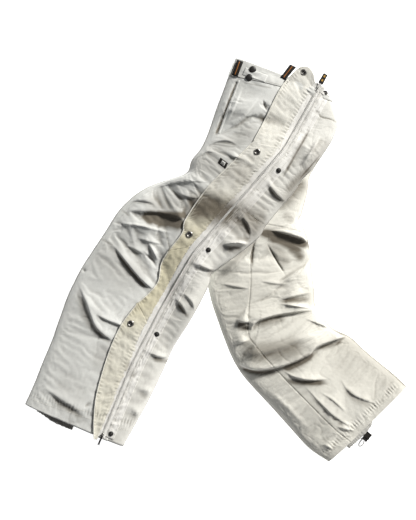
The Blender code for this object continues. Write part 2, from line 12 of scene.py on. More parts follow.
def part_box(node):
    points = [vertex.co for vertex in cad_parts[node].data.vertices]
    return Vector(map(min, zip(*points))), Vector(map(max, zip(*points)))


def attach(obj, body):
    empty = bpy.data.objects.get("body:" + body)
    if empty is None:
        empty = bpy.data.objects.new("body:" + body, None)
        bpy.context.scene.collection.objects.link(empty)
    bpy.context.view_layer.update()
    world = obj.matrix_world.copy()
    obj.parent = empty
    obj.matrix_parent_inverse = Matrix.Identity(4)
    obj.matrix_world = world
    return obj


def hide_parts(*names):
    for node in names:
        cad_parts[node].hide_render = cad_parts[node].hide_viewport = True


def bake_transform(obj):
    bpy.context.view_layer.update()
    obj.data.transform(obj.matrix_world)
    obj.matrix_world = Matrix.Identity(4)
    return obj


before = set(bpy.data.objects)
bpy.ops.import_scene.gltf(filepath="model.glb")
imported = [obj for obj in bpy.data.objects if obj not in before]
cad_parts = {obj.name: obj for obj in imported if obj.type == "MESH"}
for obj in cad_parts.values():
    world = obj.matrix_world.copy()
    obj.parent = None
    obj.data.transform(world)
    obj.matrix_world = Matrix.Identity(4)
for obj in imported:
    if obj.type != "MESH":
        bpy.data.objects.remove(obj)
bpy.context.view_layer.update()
LEFT_BODY, THIGH, SHIN = "hips_and_left_leg", "right_thigh", "right_shin"
FLAP_BODIES = ["flap_waist_section", "flap_thigh_section", "flap_knee_section", "flap_shin_section"]
FLAP_NODES = ["flap_waist", "flap_thigh", "flap_knee", "flap_shin"]

WAVES = 7                # crossed waves in one wobble
FINER = 1.7              # rows and columns of the finished cloth against the simulated grid
CRISP_WIDTH, CRISP_HEIGHT = 0.26, 0.60   # the sharp fold laid on each simulated one, as shares of it
CRINKLE = 0.0008
KNEE_REACH = 0.055       # length above and below the knee of the two points that build_right_leg gives back
SIM_FRAMES = 16
HOLD_WEIGHTS = (1.0, 0.7, 0.35, 0.12)    # how firmly the outer rings of the simulated grid are held
SIM_SETTINGS = dict(quality=3, mass=0.0006, air_damping=1.0, tension_stiffness=12.0,
                    compression_stiffness=12.0, shear_stiffness=4.0, bending_stiffness=0.25,
                    vertex_group_mass="hold", shrink_min=-0.014)
PAINTED_SHADE_COLOUR = (0.125, 0.106, 0.078)            # painted shade: the colour the cloth takes deep in its folds
DEEPEST = 0.95           # share of that painted shade colour where the painted shade is full
WEAVE_TURN = 0.6
HOLLOW = 0.0020          # a point this far below its neighbours is in full shade
THIN = 0.0008            # thickness of single thin cloth
FLAP_CLOTH = 0.0009
GATHER_PITCH = 0.0085    # one gather of the flap's stitched edges
STITCH = (0.0024, 0.0007, 0.0006)        # length, width, height
STITCH_PITCH = 0.0036
STITCH_LIFT = 0.00025
TAPE_GAP, TAPE_EDGE = 0.0003, 0.0155     # the edges of a zip tape, from the middle of the zip
TOOTH, TOOTH_PITCH = (0.0052, 0.0015, 0.0014), 0.0019
PLACKET_EDGE = 0.0085
CORD_SIDES = 8
ABOVE = 0.5              # rays that find a surface's height start this high


def mm(*values):
    """Numbers or points given in millimetres, as an array in metres."""
    return np.array(values) / 1000


# ---- the legs as they lie ----------------------------------------------------------------------
# Stations run from the waist to the hem as in the frame; each point is (station, x mm, y mm).
LEFT_FRONT = [
    (0, 49, 487), (0.5, 33, 447), (1, 18, 406), (1.5, 3, 367), (2, -11, 325), (2.5, -23, 292),
    (3, -37, 264), (3.5, -57, 239), (3.9, -65, 214), (4.3, -80, 203), (4.6, -108, 195), (5, -143, 184),
    (5.5, -174, 170), (6, -206, 147), (6.5, -236, 115), (7, -264, 71), (7.4, -283, 42), (8, -320, -14),
    (8.5, -342, -55), (9, -359, -92), (9.4, -371, -126), (10, -386, -168), (10.4, -396, -197),
    (11, -420, -254), (11.5, -438, -300), (12, -460, -349),
]
LEFT_BACK = [
    (0, 274, 401), (0.4, 284, 376), (1, 292, 346), (1.3, 295, 326), (1.6, 289, 306), (2, 279, 284),
    (2.5, 265, 262), (3, 249, 239), (3.5, 230, 214), (4, 208, 192), (4.5, 188, 163), (5, 172, 142),
    (5.5, 150, 117), (6, 121, 81), (6.4, 104, 53), (7, 50, 9), (7.5, 5, -22), (8, -10, -34),
    (8.4, -16, -60), (9, -33, -97), (9.5, -56, -139), (10, -73, -167), (10.5, -102, -213),
    (11, -123, -260), (11.5, -162, -342), (12, -223, -451),
]
RIGHT_FRONT = [
    (0, 53, 480), (1, 20, 398), (2, -6, 310), (3, -20, 220), (4, -24, 120), (5, -24, 30),
    (5.5, -23, -20), (6, -18, -63), (6.5, -8, -106), (7, 6, -147), (7.5, 22, -191), (8, 40, -235),
    (8.5, 62, -273), (9, 91, -308), (9.5, 132, -352), (10, 178, -403), (10.5, 226, -455),
    (11, 274, -488),
]
RIGHT_BACK = [
    (0, 273, 392), (1, 289, 335), (2, 262, 262), (2.6, 242, 226), (3, 227, 198), (3.4, 222, 162),
    (4, 209, 112), (4.25, 203, 97), (4.6, 213, 76), (5, 223, 50), (5.5, 229, 10), (6, 233, -30),
    (6.5, 238, -70), (7, 240, -105), (7.5, 248, -128), (8, 268, -150), (8.4, 286, -168), (9, 325, -187),
    (9.5, 358, -217), (10, 392, -246), (10.5, 428, -275), (11, 461, -306),
]
ZIP_CORNERS = mm((251, 421), (164, 265), (-52, 18), (-133, -121), (-198, -246), (-275, -430))
FLAP_FOLD = mm((239, 421), (154, 265), (-60, 31), (-164, -151), (-284, -431))
CLOTH = 0.0012
EDGE = 0.0045            # height of a folded edge over what it lies on


def catmull(points, at):
    """Smooth curve through points, at places counted in points; arrays in, arrays out."""
    points = np.asarray(points, float)
    padded = np.vstack([2 * points[0] - points[1], points, 2 * points[-1] - points[-2]])
    at = np.asarray(at, float)
    i = np.clip(np.floor(at).astype(int), 0, len(points) - 2)
    f = (at - i)[..., None]
    a, b, c, d = padded[i], padded[i + 1], padded[i + 2], padded[i + 3]
    return 0.5 * (2 * b + (c - a) * f + (2 * a - 5 * b + 4 * c - d) * f**2 + (3 * b - a - 3 * c + d) * f**3)


def edge_curve(rows, t):
    """An outline, given as (station, x, y) with x and y in millimetres, at stations t."""
    rows = np.asarray(rows, float)
    return catmull(rows[:, 1:] / 1000, np.interp(t, rows[:, 0], np.arange(len(rows))))


def smooth(low, high, x):
    x = np.clip((np.asarray(x, float) - low) / (high - low), 0, 1)
    return x * x * (3 - 2 * x)


def near_path(path, x, y):
    """Signed distance (positive to the left of the path's run) and share along it, for arrays of points."""
    path = np.asarray(path, float)[:, :2]
    points = np.stack([np.ravel(x), np.ravel(y)], axis=1)
    lengths = np.linalg.norm(np.diff(path, axis=0), axis=1)
    total = np.concatenate([[0], np.cumsum(lengths)])
    best = np.full(len(points), 1e9)
    signed = np.zeros(len(points))
    share = np.zeros(len(points))
    for k, (a, b) in enumerate(zip(path, path[1:])):
        run = b - a
        f = np.clip(((points - a) @ run) / (run @ run), 0, 1)
        off = points - (a + f[:, None] * run)
        distance = np.hypot(off[:, 0], off[:, 1])
        closer = distance < best
        side = np.where(run[0] * off[:, 1] - run[1] * off[:, 0] >= 0, 1.0, -1.0)
        best = np.where(closer, distance, best)
        signed = np.where(closer, distance * side, signed)
        share = np.where(closer, (total[k] + f * lengths[k]) / total[-1], share)
    shape = np.shape(x)
    return signed.reshape(shape), share.reshape(shape)


def rounded(corners, cut):
    """A path of straight runs whose corners are rounded from `cut` metres before to after them."""
    corners = [np.asarray(c, float) for c in corners]
    path = [corners[0]]
    for a, b, c in zip(corners, corners[1:], corners[2:]):
        before = b + (a - b) / np.linalg.norm(a - b) * cut
        after = b + (c - b) / np.linalg.norm(c - b) * cut
        for k in range(7):
            f = k / 6
            path.append((1 - f) ** 2 * before + 2 * f * (1 - f) * b + f * f * after)
    return np.array(path + [corners[-1]])


def dense(path, step):
    """The path with a point about every `step` metres."""
    path = np.asarray(path, float)
    lengths = np.linalg.norm(np.diff(path, axis=0), axis=1)
    total = np.concatenate([[0], np.cumsum(lengths)])
    at = np.linspace(0, total[-1], max(2, int(round(total[-1] / step)) + 1))
    return np.stack([np.interp(at, total, path[:, k]) for k in range(path.shape[1])], axis=1)


def curve_points(points, step=0.006):
    """A smooth curve through given points, evenly stepped."""
    at = np.linspace(0, len(points) - 1, 12 * (len(points) - 1) + 1)
    return dense(catmull(points, at), step)


ZIP = rounded(ZIP_CORNERS, 0.028)


# ---- relief: every fold, crease and pucker is a stroke over the cloth --------------------------
def stroke(x, y, points, width, height, kind="ridge", fade=(0.45, 0.45), tail=0.03):
    """Height that one fold adds. ridge: a round welt; band: a flatter one; crease: a sharp valley;
    step: a lip that drops on the right of its run and eases away over `tail` on the left."""
    path = curve_points(points, 0.008)
    reach = 3.2 * max(width, tail if kind == "step" else width)
    low, high = path.min(axis=0) - reach, path.max(axis=0) + reach
    close = (x > low[0]) & (x < high[0]) & (y > low[1]) & (y < high[1])
    out = np.zeros(np.shape(x))
    if not close.any():
        return out
    d, s = near_path(path, x[close], y[close])
    ends = smooth(0, max(fade[0], 1e-6), s) * smooth(0, max(fade[1], 1e-6), 1 - s)
    if kind in ("step", "band"):
        width = width * (0.40 + 0.60 * ends)
    if kind == "ridge":
        shape = np.exp(-((d / width) ** 2))
    elif kind == "band":
        shape = np.exp(-np.abs(d / width) ** 2.6)
    elif kind == "crease":
        shape = -np.exp(-np.abs(d) / width)
    else:
        rise = 0.5 * (1 + np.tanh(d / width))
        shape = rise * np.exp(-np.clip(d, 0, None) / (tail * (0.3 + 0.7 * ends)))
    out[close] = height * shape * ends * (1.0 - np.abs(d) / reach > 0)
    return out


def relief(x, y, strokes):
    total = np.zeros(np.shape(x))
    for one in strokes:
        total += stroke(x, y, *one[:3], **one[3])
    return total


def wobble(x, y, size, seed):
    """Smooth uneven noise from a few crossed waves; size is the length of its bumps."""
    rng = np.random.default_rng(seed)
    total = np.zeros(np.shape(x))
    for _ in range(WAVES):
        angle, phase = rng.uniform(0, math.pi), rng.uniform(0, 2 * math.pi)
        pitch = size * rng.uniform(0.7, 1.5)
        across = x * math.sin(angle) - y * math.cos(angle)
        along = x * math.cos(angle) + y * math.sin(angle)
        bend = 0.35 * np.sin(across * 2 * math.pi / (pitch * 2.3) + phase * 2)
        total += np.sin(along * 2 * math.pi / pitch + phase + 2.2 * bend)
    return total / WAVES


def crinkles(x, y, size, depth, seed):
    """Fine creases that wander over the cloth and come and go."""
    line = wobble(x, y, size, seed)
    there = smooth(0.10, 0.42, wobble(x, y, 2.6 * size, seed + 1))
    return -depth * np.exp(-np.abs(line) / 0.09) * there


def puckers(x, y, path, offset, reach, pitch, height, seed):
    """Little gathers that a tight row of stitching pulls across itself."""
    d, s = near_path(path, x, y)
    length = np.linalg.norm(np.diff(np.asarray(path)[:, :2], axis=0), axis=1).sum()
    wave = np.sin(2 * math.pi * s * length / pitch + 2.0 * wobble(x, y, 0.05, seed))
    gate = smooth(0, 0.03, s) * smooth(0, 0.03, 1 - s)
    return height * wave * np.exp(-(((d - offset) / reach) ** 2)) * gate


def groove(x, y, path, depth, width):
    """The line that a seam draws in the cloth."""
    d, s = near_path(path, x, y)
    return -depth * np.exp(-((d / width) ** 2)) * (s > 0) * (s < 1)


# A fold is (points, width, height, details). These helpers take millimetres and give metres.
def ridge(points, width, height, **details):
    return mm(*points), width / 1000, height / 1000, details


def crease(points, width, height, **details):
    return ridge(points, width, height, kind="crease", **details)


def step(points, width, height, tail=20, **details):
    return ridge(points, width, height, kind="step", tail=tail / 1000, **details)


# The folds of both legs in millimetres. A step drops on the right of its run.
LEFT_FOLDS = [
    step([(-157, 167), (-109, 180), (-49, 185), (-6, 181)], 10, 8, 50),
    step([(-210, 140), (-176, 140), (-150, 132), (-140, 119)], 4, 4.5),
    step([(-112, 172), (-78, 152), (-40, 146), (-23, 164)], 6, 6),
    step([(-218, 118), (-181, 114), (-145, 112), (-109, 105), (-74, 94)], 5, 10, 35, fade=(0.4, 0.1)),
    ridge([(-260, 84), (-200, 84), (-150, 74), (-90, 58)], 12, 7),
    crease([(-253, 92), (-230, 86), (-205, 76)], 4, 3),
    step([(-248, 36), (-212, -10), (-181, -47), (-148, -74)], 3.6, 7, 24, fade=(0.3, 0.2)),
    step([(-217, 35), (-164, 8), (-157, -6)], 5, 4),
    step([(-160, 40), (-138, -5)], 4, 6, 18),
    step([(-190, 52), (-150, 40), (-126, 36)], 4, 5),
    crease([(-180, 22), (-152, 0), (-140, -20)], 4, 4),
    crease([(-325, -20), (-311, -30)], 4, 4),
    step([(-330, -56), (-310, -105), (-291, -155), (-270, -180), (-242, -198)],
         5.5, 6.8, 35, fade=(0.35, 0.2)),
    step([(-289, -130), (-260, -145), (-222, -160)], 4, 5, fade=(0.4, 0.15)),
    step([(-414, -306), (-368, -340), (-340, -356), (-311, -384)], 5, 4.6, 35),
    crease([(-320, -356), (-296, -342)], 4, 3),
    step([(1, 296), (59, 330), (97, 378), (112, 402)], 8, 8.5, 40),
    step([(-25, 270), (23, 284), (59, 268)], 6, 5, 30),
    step([(-55, 235), (-20, 256), (10, 252)], 4, 4),
    crease([(112, 383), (124, 350)], 5, 6),
    ridge([(66, 420), (50, 380), (22, 318)], 12, 4),
    crease([(52.5, 432), (27.5, 366), (3.5, 302)], 2.4, 4, fade=(0.05, 0.05)),
    step([(28, 246), (62, 239)], 4, 4),
    step([(-55, 168), (0, 148), (48, 126), (92, 100)], 22, 5, 50, fade=(0.4, 0.4)),
    ridge([(10, 36), (61, 40), (85, 28)], 7, 10),
    step([(54, 112), (78, 80), (84, 46)], 3, 5),
    step([(-64, -8), (-30, -18), (4, -34)], 3.5, 6),
    step([(-100, -90), (-82, -110), (-68, -134)], 3, 5),
    step([(-82, -76), (-56, -104), (-50, -136)], 3, 4, 15),
    step([(-168, -220), (-136, -234), (-104, -236)], 3, 5),
    step([(-190, -310), (-160, -322), (-142, -330)], 4, 5),
    step([(-212, -352), (-190, -372), (-176, -398)], 4, 5),
    step([(118, 190), (146, 152), (184, 128)], 4, 5.5, 30),
    ridge([(252, 300), (228, 258), (200, 218)], 12, 7),
    crease([(270, 270), (235, 232), (190, 180)], 5, 5),
]
RIGHT_FOLDS = [
    step([(124, 70), (165, 62), (203, 50), (224, 40)], 4, 12, 45, fade=(0.45, 0.1)),
    crease([(94, 47), (88, 10), (88, -20)], 4, 5),
    crease([(120, 44), (145, 1), (172, -44)], 5, 6),
    step([(236, -4), (196, -28), (160, -52), (138, -68)], 5, 8, 35),
    step([(104, -52), (140, -58), (172, -60)], 4, 4),
    step([(0, -52), (40, -20), (85, 30)], 6, 6),
    step([(8, -58), (50, -66), (92, -72)], 3, 3),
    step([(145, -100), (190, -88), (236, -78)], 5, 8),
    ridge([(145, -104), (190, -110), (236, -118)], 8, 7),
    step([(86, -176), (95, -152), (131, -137), (179, -128), (240, -121)], 5, 10, 25, fade=(0.15, 0.3)),
    step([(48, -142), (64, -150), (86, -152)], 4, 9),
    step([(47, -206), (83, -192)], 4, 6),
    ridge([(60, -228), (130, -216), (200, -190), (270, -172)], 30, 7, fade=(0.2, 0.3)),
    step([(210, -140), (255, -158), (290, -168)], 5, 6),
    step([(49, -250), (95, -264), (160, -255), (220, -231), (245, -207), (316, -184)],
         5, 14, 45, fade=(0.12, 0.1)),
    step([(155, -262), (190, -282), (235, -289), (280, -284)], 5, 10),
    step([(207, -296), (251, -345), (287, -378), (342, -412)], 4, 5.2, 25),
    step([(246, -315), (280, -337), (318, -372)], 3.5, 4),
    step([(296, -280), (318, -316), (352, -335), (402, -352)], 4, 5, 25),
    step([(287, -400), (311, -407), (340, -412)], 4, 5, 15),
    step([(256, -443), (270, -450), (284, -457)], 4, 4, 15),
    ridge([(110, -300), (170, -352), (240, -424)], 26, 3.5),
]
# Painted shade where the cloth lies deep in its folds and looks darker: points and half width in mm, and
# amount.
LEFT_SHADES = [
    ([(-180, 140), (-110, 130), (-30, 120)], 28, 0.4),
    ([(-186, 104), (-140, 99), (-96, 88), (-60, 76)], 16, 1.35),
    ([(-160, 108), (-110, 106), (-58, 104)], 12, 1.1),
    ([(-85, 112), (-30, 124), (20, 112), (66, 94)], 36, 1),
    ([(0, 130), (70, 98), (130, 70)], 40, 0.72),
    ([(-275, -5), (-200, -30), (-150, -50)], 36, 0.26),
    ([(-262, -190), (-285, -270)], 22, 0.25),
    ([(-60, 236), (10, 262), (78, 305), (106, 345)], 26, 0.32),
    ([(104, 350), (118, 328)], 7, 0.6),
    ([(232, 322), (205, 275), (184, 239), (156, 188)], 3.6, 0.85),
    ([(58, 431), (75, 424), (104, 417), (145, 408)], 1.8, 0.4),
    ([(52.5, 432), (27.5, 366), (3.5, 302)], 2.8, 0.95),
    ([(16, 336), (0, 296)], 4.4, 0.95),
    ([(225, 359), (246, 355), (254, 343), (276, 338), (291, 331)], 1.6, 0.55),
    ([(252, 242), (240, 228)], 6, 0.8),
    ([(262, 296), (240, 266), (222, 248)], 8, 0.42),
    ([(240, 228), (196, 190), (160, 150)], 12, 0.72),
    ([(122, 176), (150, 146), (184, 122)], 9, 0.5),
    ([(214, 296), (194, 254), (170, 206)], 10, 0.3),
    ([(20, 20), (70, 26)], 10, 0.45),
    ([(68, 86), (76, 60)], 5, 0.6),
    ([(-10, -20), (-12, -45)], 10, 0.45),
    ([(-240, 20), (-184, -50), (-155, -78)], 4, 0.6),
    ([(-334, -60), (-305, -150), (-244, -204)], 10, 0.4),
    ([(-400, -325), (-340, -364), (-313, -388)], 10, 0.3),
    ([(-156, -238), (-105, -248)], 5, 0.55),
    ([(-92, -104), (-62, -142)], 4.5, 0.55),
    ([(-390, -290), (-330, -320), (-300, -340)], 40, 0.12),
    ([(-85, 232), (-20, 224), (40, 206), (100, 170)], 34, 0.36),
    ([(-300, 40), (-240, -10), (-180, -80)], 44, 0.2),
    ([(244, 210), (196, 172), (150, 118)], 22, 0.48),
    ([(290, 296), (246, 244), (204, 190)], 22, 0.38),
    ([(-214, -240), (-196, -290)], 10, 0.35),
]
RIGHT_SHADES = [
    ([(88, 66), (130, 61), (175, 47), (240, 30)], 11, 1.5),
    ([(110, 56), (150, 46), (190, 28), (220, 8)], 11, 1.1),
    ([(170, 36), (196, 16), (212, -8)], 12, 0.9),
    ([(116, 44), (150, 16), (180, -20)], 16, 0.45),
    ([(94, 50), (88, 10), (88, -24)], 3.5, 0.7),
    ([(105, 50), (40, -10), (0, -50)], 8, 0.4),
    ([(130, 120), (178, 160), (222, 204)], 22, 0.8),
    ([(160, 112), (190, 88)], 10, 0.4),
    ([(148, -102), (190, -98), (236, -94)], 6, 0.6),
    ([(48, -156), (84, -166)], 9, 0.9),
    ([(96, -164), (125, -150), (175, -140)], 9, 0.6),
    ([(50, -228), (110, -222), (165, -216), (225, -196)], 26, 0.74),
    ([(50, -260), (107, -274), (160, -266)], 6, 0.7),
    ([(155, -268), (203, -246), (240, -222)], 10, 0.95),
    ([(240, -216), (316, -195)], 5, 0.65),
    ([(158, -278), (190, -294), (276, -295)], 7, 0.85),
    ([(215, -315), (270, -368), (325, -412)], 4, 0.24),
    ([(390, -236), (430, -276), (466, -312)], 3.2, 1),
    ([(270, -140), (340, -205), (400, -262), (470, -330)], 46, 0.34),
    ([(226, -60), (236, -120)], 30, 0.2),
    ([(270, -200), (350, -280), (430, -360)], 40, 0.18),
    ([(306, -300), (335, -336), (385, -356)], 8, 0.34),
]
FOLD_GAIN = 1.25


def shades(x, y, strokes):
    """How deep in shade the cloth is, 0 to 1, from strokes with soft sides."""
    total = np.zeros(np.shape(x))
    for points, half, amount in strokes:
        # each stroke paints shade into the cloth's colour
        total = np.maximum(total, stroke(x, y, mm(*points), half / 1000, amount, "band", (0.24, 0.24)))
    return np.clip(total, 0, 1)


LEFT_CREST = mm(17, 20, 22, 22, 20, 18, 18, 19, 21, 22, 22, 21, 19)
RIGHT_CREST = mm(17, 18, 18, 18, 18, 18, 19, 21, 23, 23, 22, 19)
LIFT = 0.0262            # the left leg lies this much higher where the right one is beneath it


def left_base(x, y):
    return LIFT * smooth(-0.135, -0.034, x) * smooth(0.340, 0.215, y)


def flat_base(x, y):
    return np.zeros(np.shape(x))


LEFT_SEAMS = [
    mm((249, 395), (266, 388), (283, 383)),
    mm((225, 359), (243, 356), (253, 343), (276, 338), (291, 331)),
    mm((62, 123), (90, 101), (121, 81)),
    mm((-229, 120), (-207, 105)),
    mm((-276, 49), (-248, 35)),
    mm((-119, 68), (-109, 25)),
    mm((55, 431), (43, 402), (23, 355), (0, 301)),
]
RIGHT_SEAMS = [
    mm((95, 47), (83, 6), (84, -28), (83, -73), (79, -119), (79, -179), (95, -205), (157, -277),
       (275, -397), (323, -438)),
    mm((227, 11), (203, -28), (169, -54), (133, -83), (107, -100)),
    mm((122, 84), (165, 76), (214, 62)),
]
# stations is the last one; crumple says how much of the simulation each station takes.
LEFT = dict(front=LEFT_FRONT, back=LEFT_BACK, crest=LEFT_CREST, base=left_base, folds=LEFT_FOLDS,
            shades=LEFT_SHADES, seams=LEFT_SEAMS, seed=11, stations=12,
            crumple=([0, 6.5, 8.5], [1.0, 1.0, 0.45]))
RIGHT = dict(front=RIGHT_FRONT, back=RIGHT_BACK, crest=RIGHT_CREST, base=flat_base, folds=RIGHT_FOLDS,
             shades=RIGHT_SHADES, seams=RIGHT_SEAMS, seed=23, stations=11, crumple=([0, 11], [0.7, 0.7]))


def leg_plan(leg, t, u):
    """Where stations t and shares u (0 at the front edge, 1 at the back) lie on the floor."""
    front, back = edge_curve(leg["front"], t), edge_curve(leg["back"], t)
    u = np.asarray(u, float)[..., None]
    return front * (1 - u) + back * u


def inside_edges(u, rim):
    """1 over the leg, falling to 0 at its two folded edges over a share `rim` of its width."""
    return smooth(0, rim, u) * smooth(0, rim, 1 - u)


def leg_height(leg, x, y, t, u):
    """Height of the leg's upper cloth over the floor."""
    arch = np.sqrt(np.clip(1 - np.abs(2 * u - 1) ** 4.5, 0, 1))
    crest = np.interp(t, np.arange(len(leg["crest"])), leg["crest"])
    z = leg["base"](x, y) + EDGE + crest * arch
    fade = inside_edges(u, 0.05)
    z = z + FOLD_GAIN * relief(x, y, leg["folds"]) * fade
    z = z + 0.0014 * wobble(x, y, 0.060, leg["seed"]) * fade
    z = z + 0.0005 * wobble(x, y, 0.018, leg["seed"] + 1) * fade
    if leg is LEFT:
        z = z + zip_puckers(x, y) * fade
    return z


def zip_puckers(x, y):
    total = puckers(x, y, ZIP, 0.016, 0.008, 0.0075, 0.0010, 31)
    return total + puckers(x, y, ZIP, -0.016, 0.008, 0.0082, 0.0007, 37)


def hem_puckers(leg, x, y):
    """The gathers along the stitching of the hem."""
    hem = leg_plan(leg, np.full(24, leg["stations"] - 0.24), np.linspace(0.0, 1.0, 24))
    uneven = np.clip(0.7 + 1.2 * wobble(x, y, 0.045, leg["seed"] + 9), 0, 1.6)
    return uneven * puckers(x, y, hem, 0.0, 0.007, 0.0075, 0.0010, leg["seed"] + 7)


# ---- meshes ------------------------------------------------------------------------------------
def linked(name, mesh, material_):
    obj = bpy.data.objects.new(name, mesh)
    bpy.context.scene.collection.objects.link(obj)
    mesh.materials.append(material_)
    return obj


def vertex_values(mesh, name, values):
    attribute = mesh.attributes.new(name, "FLOAT", "POINT")
    attribute.data.foreach_set("value", values.ravel().astype(np.float32))


def surface(name, x, y, z, material_, thickness=0.0, tint=None, closed=False):
    """A mesh over a grid of points; closed joins its last column to its first."""
    rows, columns = x.shape
    points = np.stack([x, y, z], axis=-1).reshape(-1, 3)
    index = np.arange(rows * columns).reshape(rows, columns)
    if closed:
        index = np.hstack([index, index[:, :1]])
    a, b = index[:-1, :-1].ravel(), index[1:, :-1].ravel()
    c, d = index[1:, 1:].ravel(), index[:-1, 1:].ravel()
    faces = np.stack([a, b, c, d], axis=1)
    mesh = bpy.data.meshes.new(name)
    mesh.from_pydata(points.tolist(), [], faces.tolist())
    normals = np.zeros(len(faces) * 3)
    mesh.polygons.foreach_get("normal", normals)
    if not closed and normals[2::3].sum() < 0:
        mesh.flip_normals()
    mesh.polygons.foreach_set("use_smooth", np.ones(len(faces), bool))
    # tint is painted shade, kept as the mesh's `shade` values
    if tint is not None:
        vertex_values(mesh, "shade", tint)
    obj = linked(name, mesh, material_)
    if thickness:
        thicken(obj, thickness)
    return obj


def thicken(obj, thickness):
    modifier = obj.modifiers.new("thickness", "SOLIDIFY")
    modifier.thickness = thickness
    modifier.offset = -1
    settle(obj)


def settle(obj):
    """The object's modifiers made part of its mesh."""
    bpy.context.view_layer.update()
    graph = bpy.context.evaluated_depsgraph_get()
    mesh = bpy.data.meshes.new_from_object(obj.evaluated_get(graph))
    old = obj.data
    obj.modifiers.clear()
    obj.data = mesh
    mesh.name = obj.name
    bpy.data.meshes.remove(old)


def hollows(z, step):
    """How far each point lies below its neighbours, 0 to 1: where folds hold shade."""
    blurred = z.copy()
    for _ in range(step):
        wide = np.pad(blurred, 1, mode="edge")
        blurred = (wide[:-2, 1:-1] + wide[2:, 1:-1] + wide[1:-1, :-2] + wide[1:-1, 2:]) / 4
    return np.clip((blurred - z) / HOLLOW, 0, 1)


def zip_share(leg, t):
    """The share u at which each station's line crosses the zip."""
    u = np.linspace(0, 1, 241)
    run = np.vstack([ZIP[0] + (ZIP[0] - ZIP[1]) * 9, ZIP[1:-1], ZIP[-1] + (ZIP[-1] - ZIP[-2]) * 9])
    out = []
    for station in t:
        xy = leg_plan(leg, np.full(len(u), station), u)
        d, _ = near_path(run, xy[:, 0], xy[:, 1])
        k = int(np.argmax(d > 0))
        out.append(u[k - 1] + (u[k] - u[k - 1]) * (-d[k - 1]) / (d[k] - d[k - 1]) if k else 0.5)
    return np.array(out)


def leg_grid(leg, t, low, high, columns):
    """Plan points of part of a leg: stations t, and shares from low(t) to high(t)."""
    s = np.linspace(0, 1, columns)[None, :]
    u = low[:, None] * (1 - s) + high[:, None] * s
    tt = np.repeat(t[:, None], columns, axis=1)
    xy = leg_plan(leg, tt, u)
    return xy[..., 0], xy[..., 1], tt, u


def upper_cloth(name, leg, t, low, high, columns, material_):
    """The upper cloth of part of a leg, laid with its folds and then let settle by a cloth simulation."""
    x, y, tt, u = leg_grid(leg, t, low, high, columns)
    z = leg_height(leg, x, y, tt, u)
    loose = crumpled(name, x, y, z, material_)
    share = inside_edges(u, 0.09) * np.interp(tt, *leg["crumple"])
    x, y, z = (plain + share * (moved - plain) for plain, moved in zip((x, y, z), loose))
    x, y, z, u = (finer(grid, FINER) for grid in (x, y, z, u))
    fade = inside_edges(u, 0.04)
    seed = leg["seed"]
    crisp = []
    for points, width, height, rest in leg["folds"]:
        tail = 0.4 * rest.get("tail", 0.03)
        crisp.append((points, CRISP_WIDTH * width, CRISP_HEIGHT * height, {**rest, "tail": tail}))
    z = z + fade * (relief(x, y, crisp) + 0.00018 * wobble(x, y, 0.011, seed + 3))
    z = z + fade * (crinkles(x, y, 0.075, CRINKLE, seed + 40) + crinkles(x, y, 0.050, CRINKLE, seed + 50))
    z = z + fade * hem_puckers(leg, x, y)
    if leg is LEFT:
        z = z + 1.2 * fade * zip_puckers(x, y)
    for seam in leg["seams"]:
        z = z + fade * groove(x, y, curve_points(seam), 0.0010, 0.0022)
    return surface(name, x, y, z, material_, CLOTH, folded_shade(leg, x, y, z, 20))


def finer(grid, factor):
    """The grid with this many times the rows and columns, through a smooth curve."""
    for _ in range(2):
        count = len(grid)
        grid = catmull(grid, np.linspace(0, count - 1, int(count * factor))).T
    return grid


def folded_shade(leg, x, y, z, step):
    # Painted shade: darkness from the hollows and the shade strokes, mixed into the cloth's colour
    return np.clip(0.55 * hollows(z, step) + shades(x, y, leg["shades"]), 0, 1)


def crumpled(name, x, y, z, material_):
    """The grid after a cloth simulation in which the cloth, a little too large for its place, buckles and
    settles on its own first shape. Its borders hold still."""
    rows, columns = x.shape
    bed = surface(f"{name}_bed", x, y, z - 0.0022, material_)
    bed.modifiers.new("collision", "COLLISION")
    bed.collision.thickness_outer = 0.0008
    bed.collision.cloth_friction = 12.0
    sheet = surface(f"{name}_sim", x, y, z, material_)
    row, column = np.indices((rows, columns))
    border = np.minimum.reduce([row, rows - 1 - row, column, columns - 1 - column])
    hold = sheet.vertex_groups.new(name="hold")
    for reach, weight in enumerate(HOLD_WEIGHTS):
        hold.add(np.flatnonzero(border.ravel() == reach).tolist(), weight, "REPLACE")
    cloth = sheet.modifiers.new("cloth", "CLOTH")
    for key, value in SIM_SETTINGS.items():
        setattr(cloth.settings, key, value)
    cloth.collision_settings.use_self_collision = False
    cloth.collision_settings.collision_quality = 2
    cloth.collision_settings.distance_min = 0.0008
    cloth.point_cache.frame_start = 1
    cloth.point_cache.frame_end = SIM_FRAMES
    scene = bpy.context.scene
    for frame_number in range(1, SIM_FRAMES + 1):
        scene.frame_set(frame_number)
    graph = bpy.context.evaluated_depsgraph_get()
    mesh = sheet.evaluated_get(graph).to_mesh()
    co = coordinates(mesh).reshape(rows, columns, 3)
    bpy.data.objects.remove(sheet)
    bpy.data.objects.remove(bed)
    scene.frame_set(1)
    return co[..., 0], co[..., 1], co[..., 2]


def coordinates(mesh):
    co = np.zeros(len(mesh.vertices) * 3)
    mesh.vertices.foreach_get("co", co)
    return co.reshape(-1, 3)


def under_cloth(name, leg, t, material_):
    """The layer that the leg lies on, turned up at its two folded edges."""
    s = np.linspace(-1, 1, 40)
    u = 0.5 + 0.5 * np.sign(s) * (1 - (1 - np.abs(s)) ** 1.6)
    tt, uu = np.meshgrid(t, u, indexing="ij")
    xy = leg_plan(leg, tt, uu)
    x, y = xy[..., 0], xy[..., 1]
    rim = np.abs(2 * uu - 1) ** 30
    z = leg["base"](x, y) + 0.0012 + (EDGE - 0.0014) * rim + 0.0004 * (1 + wobble(x, y, 0.05, 5)) * (1 - rim)
    return surface(name, x, y, z, material_, THIN)


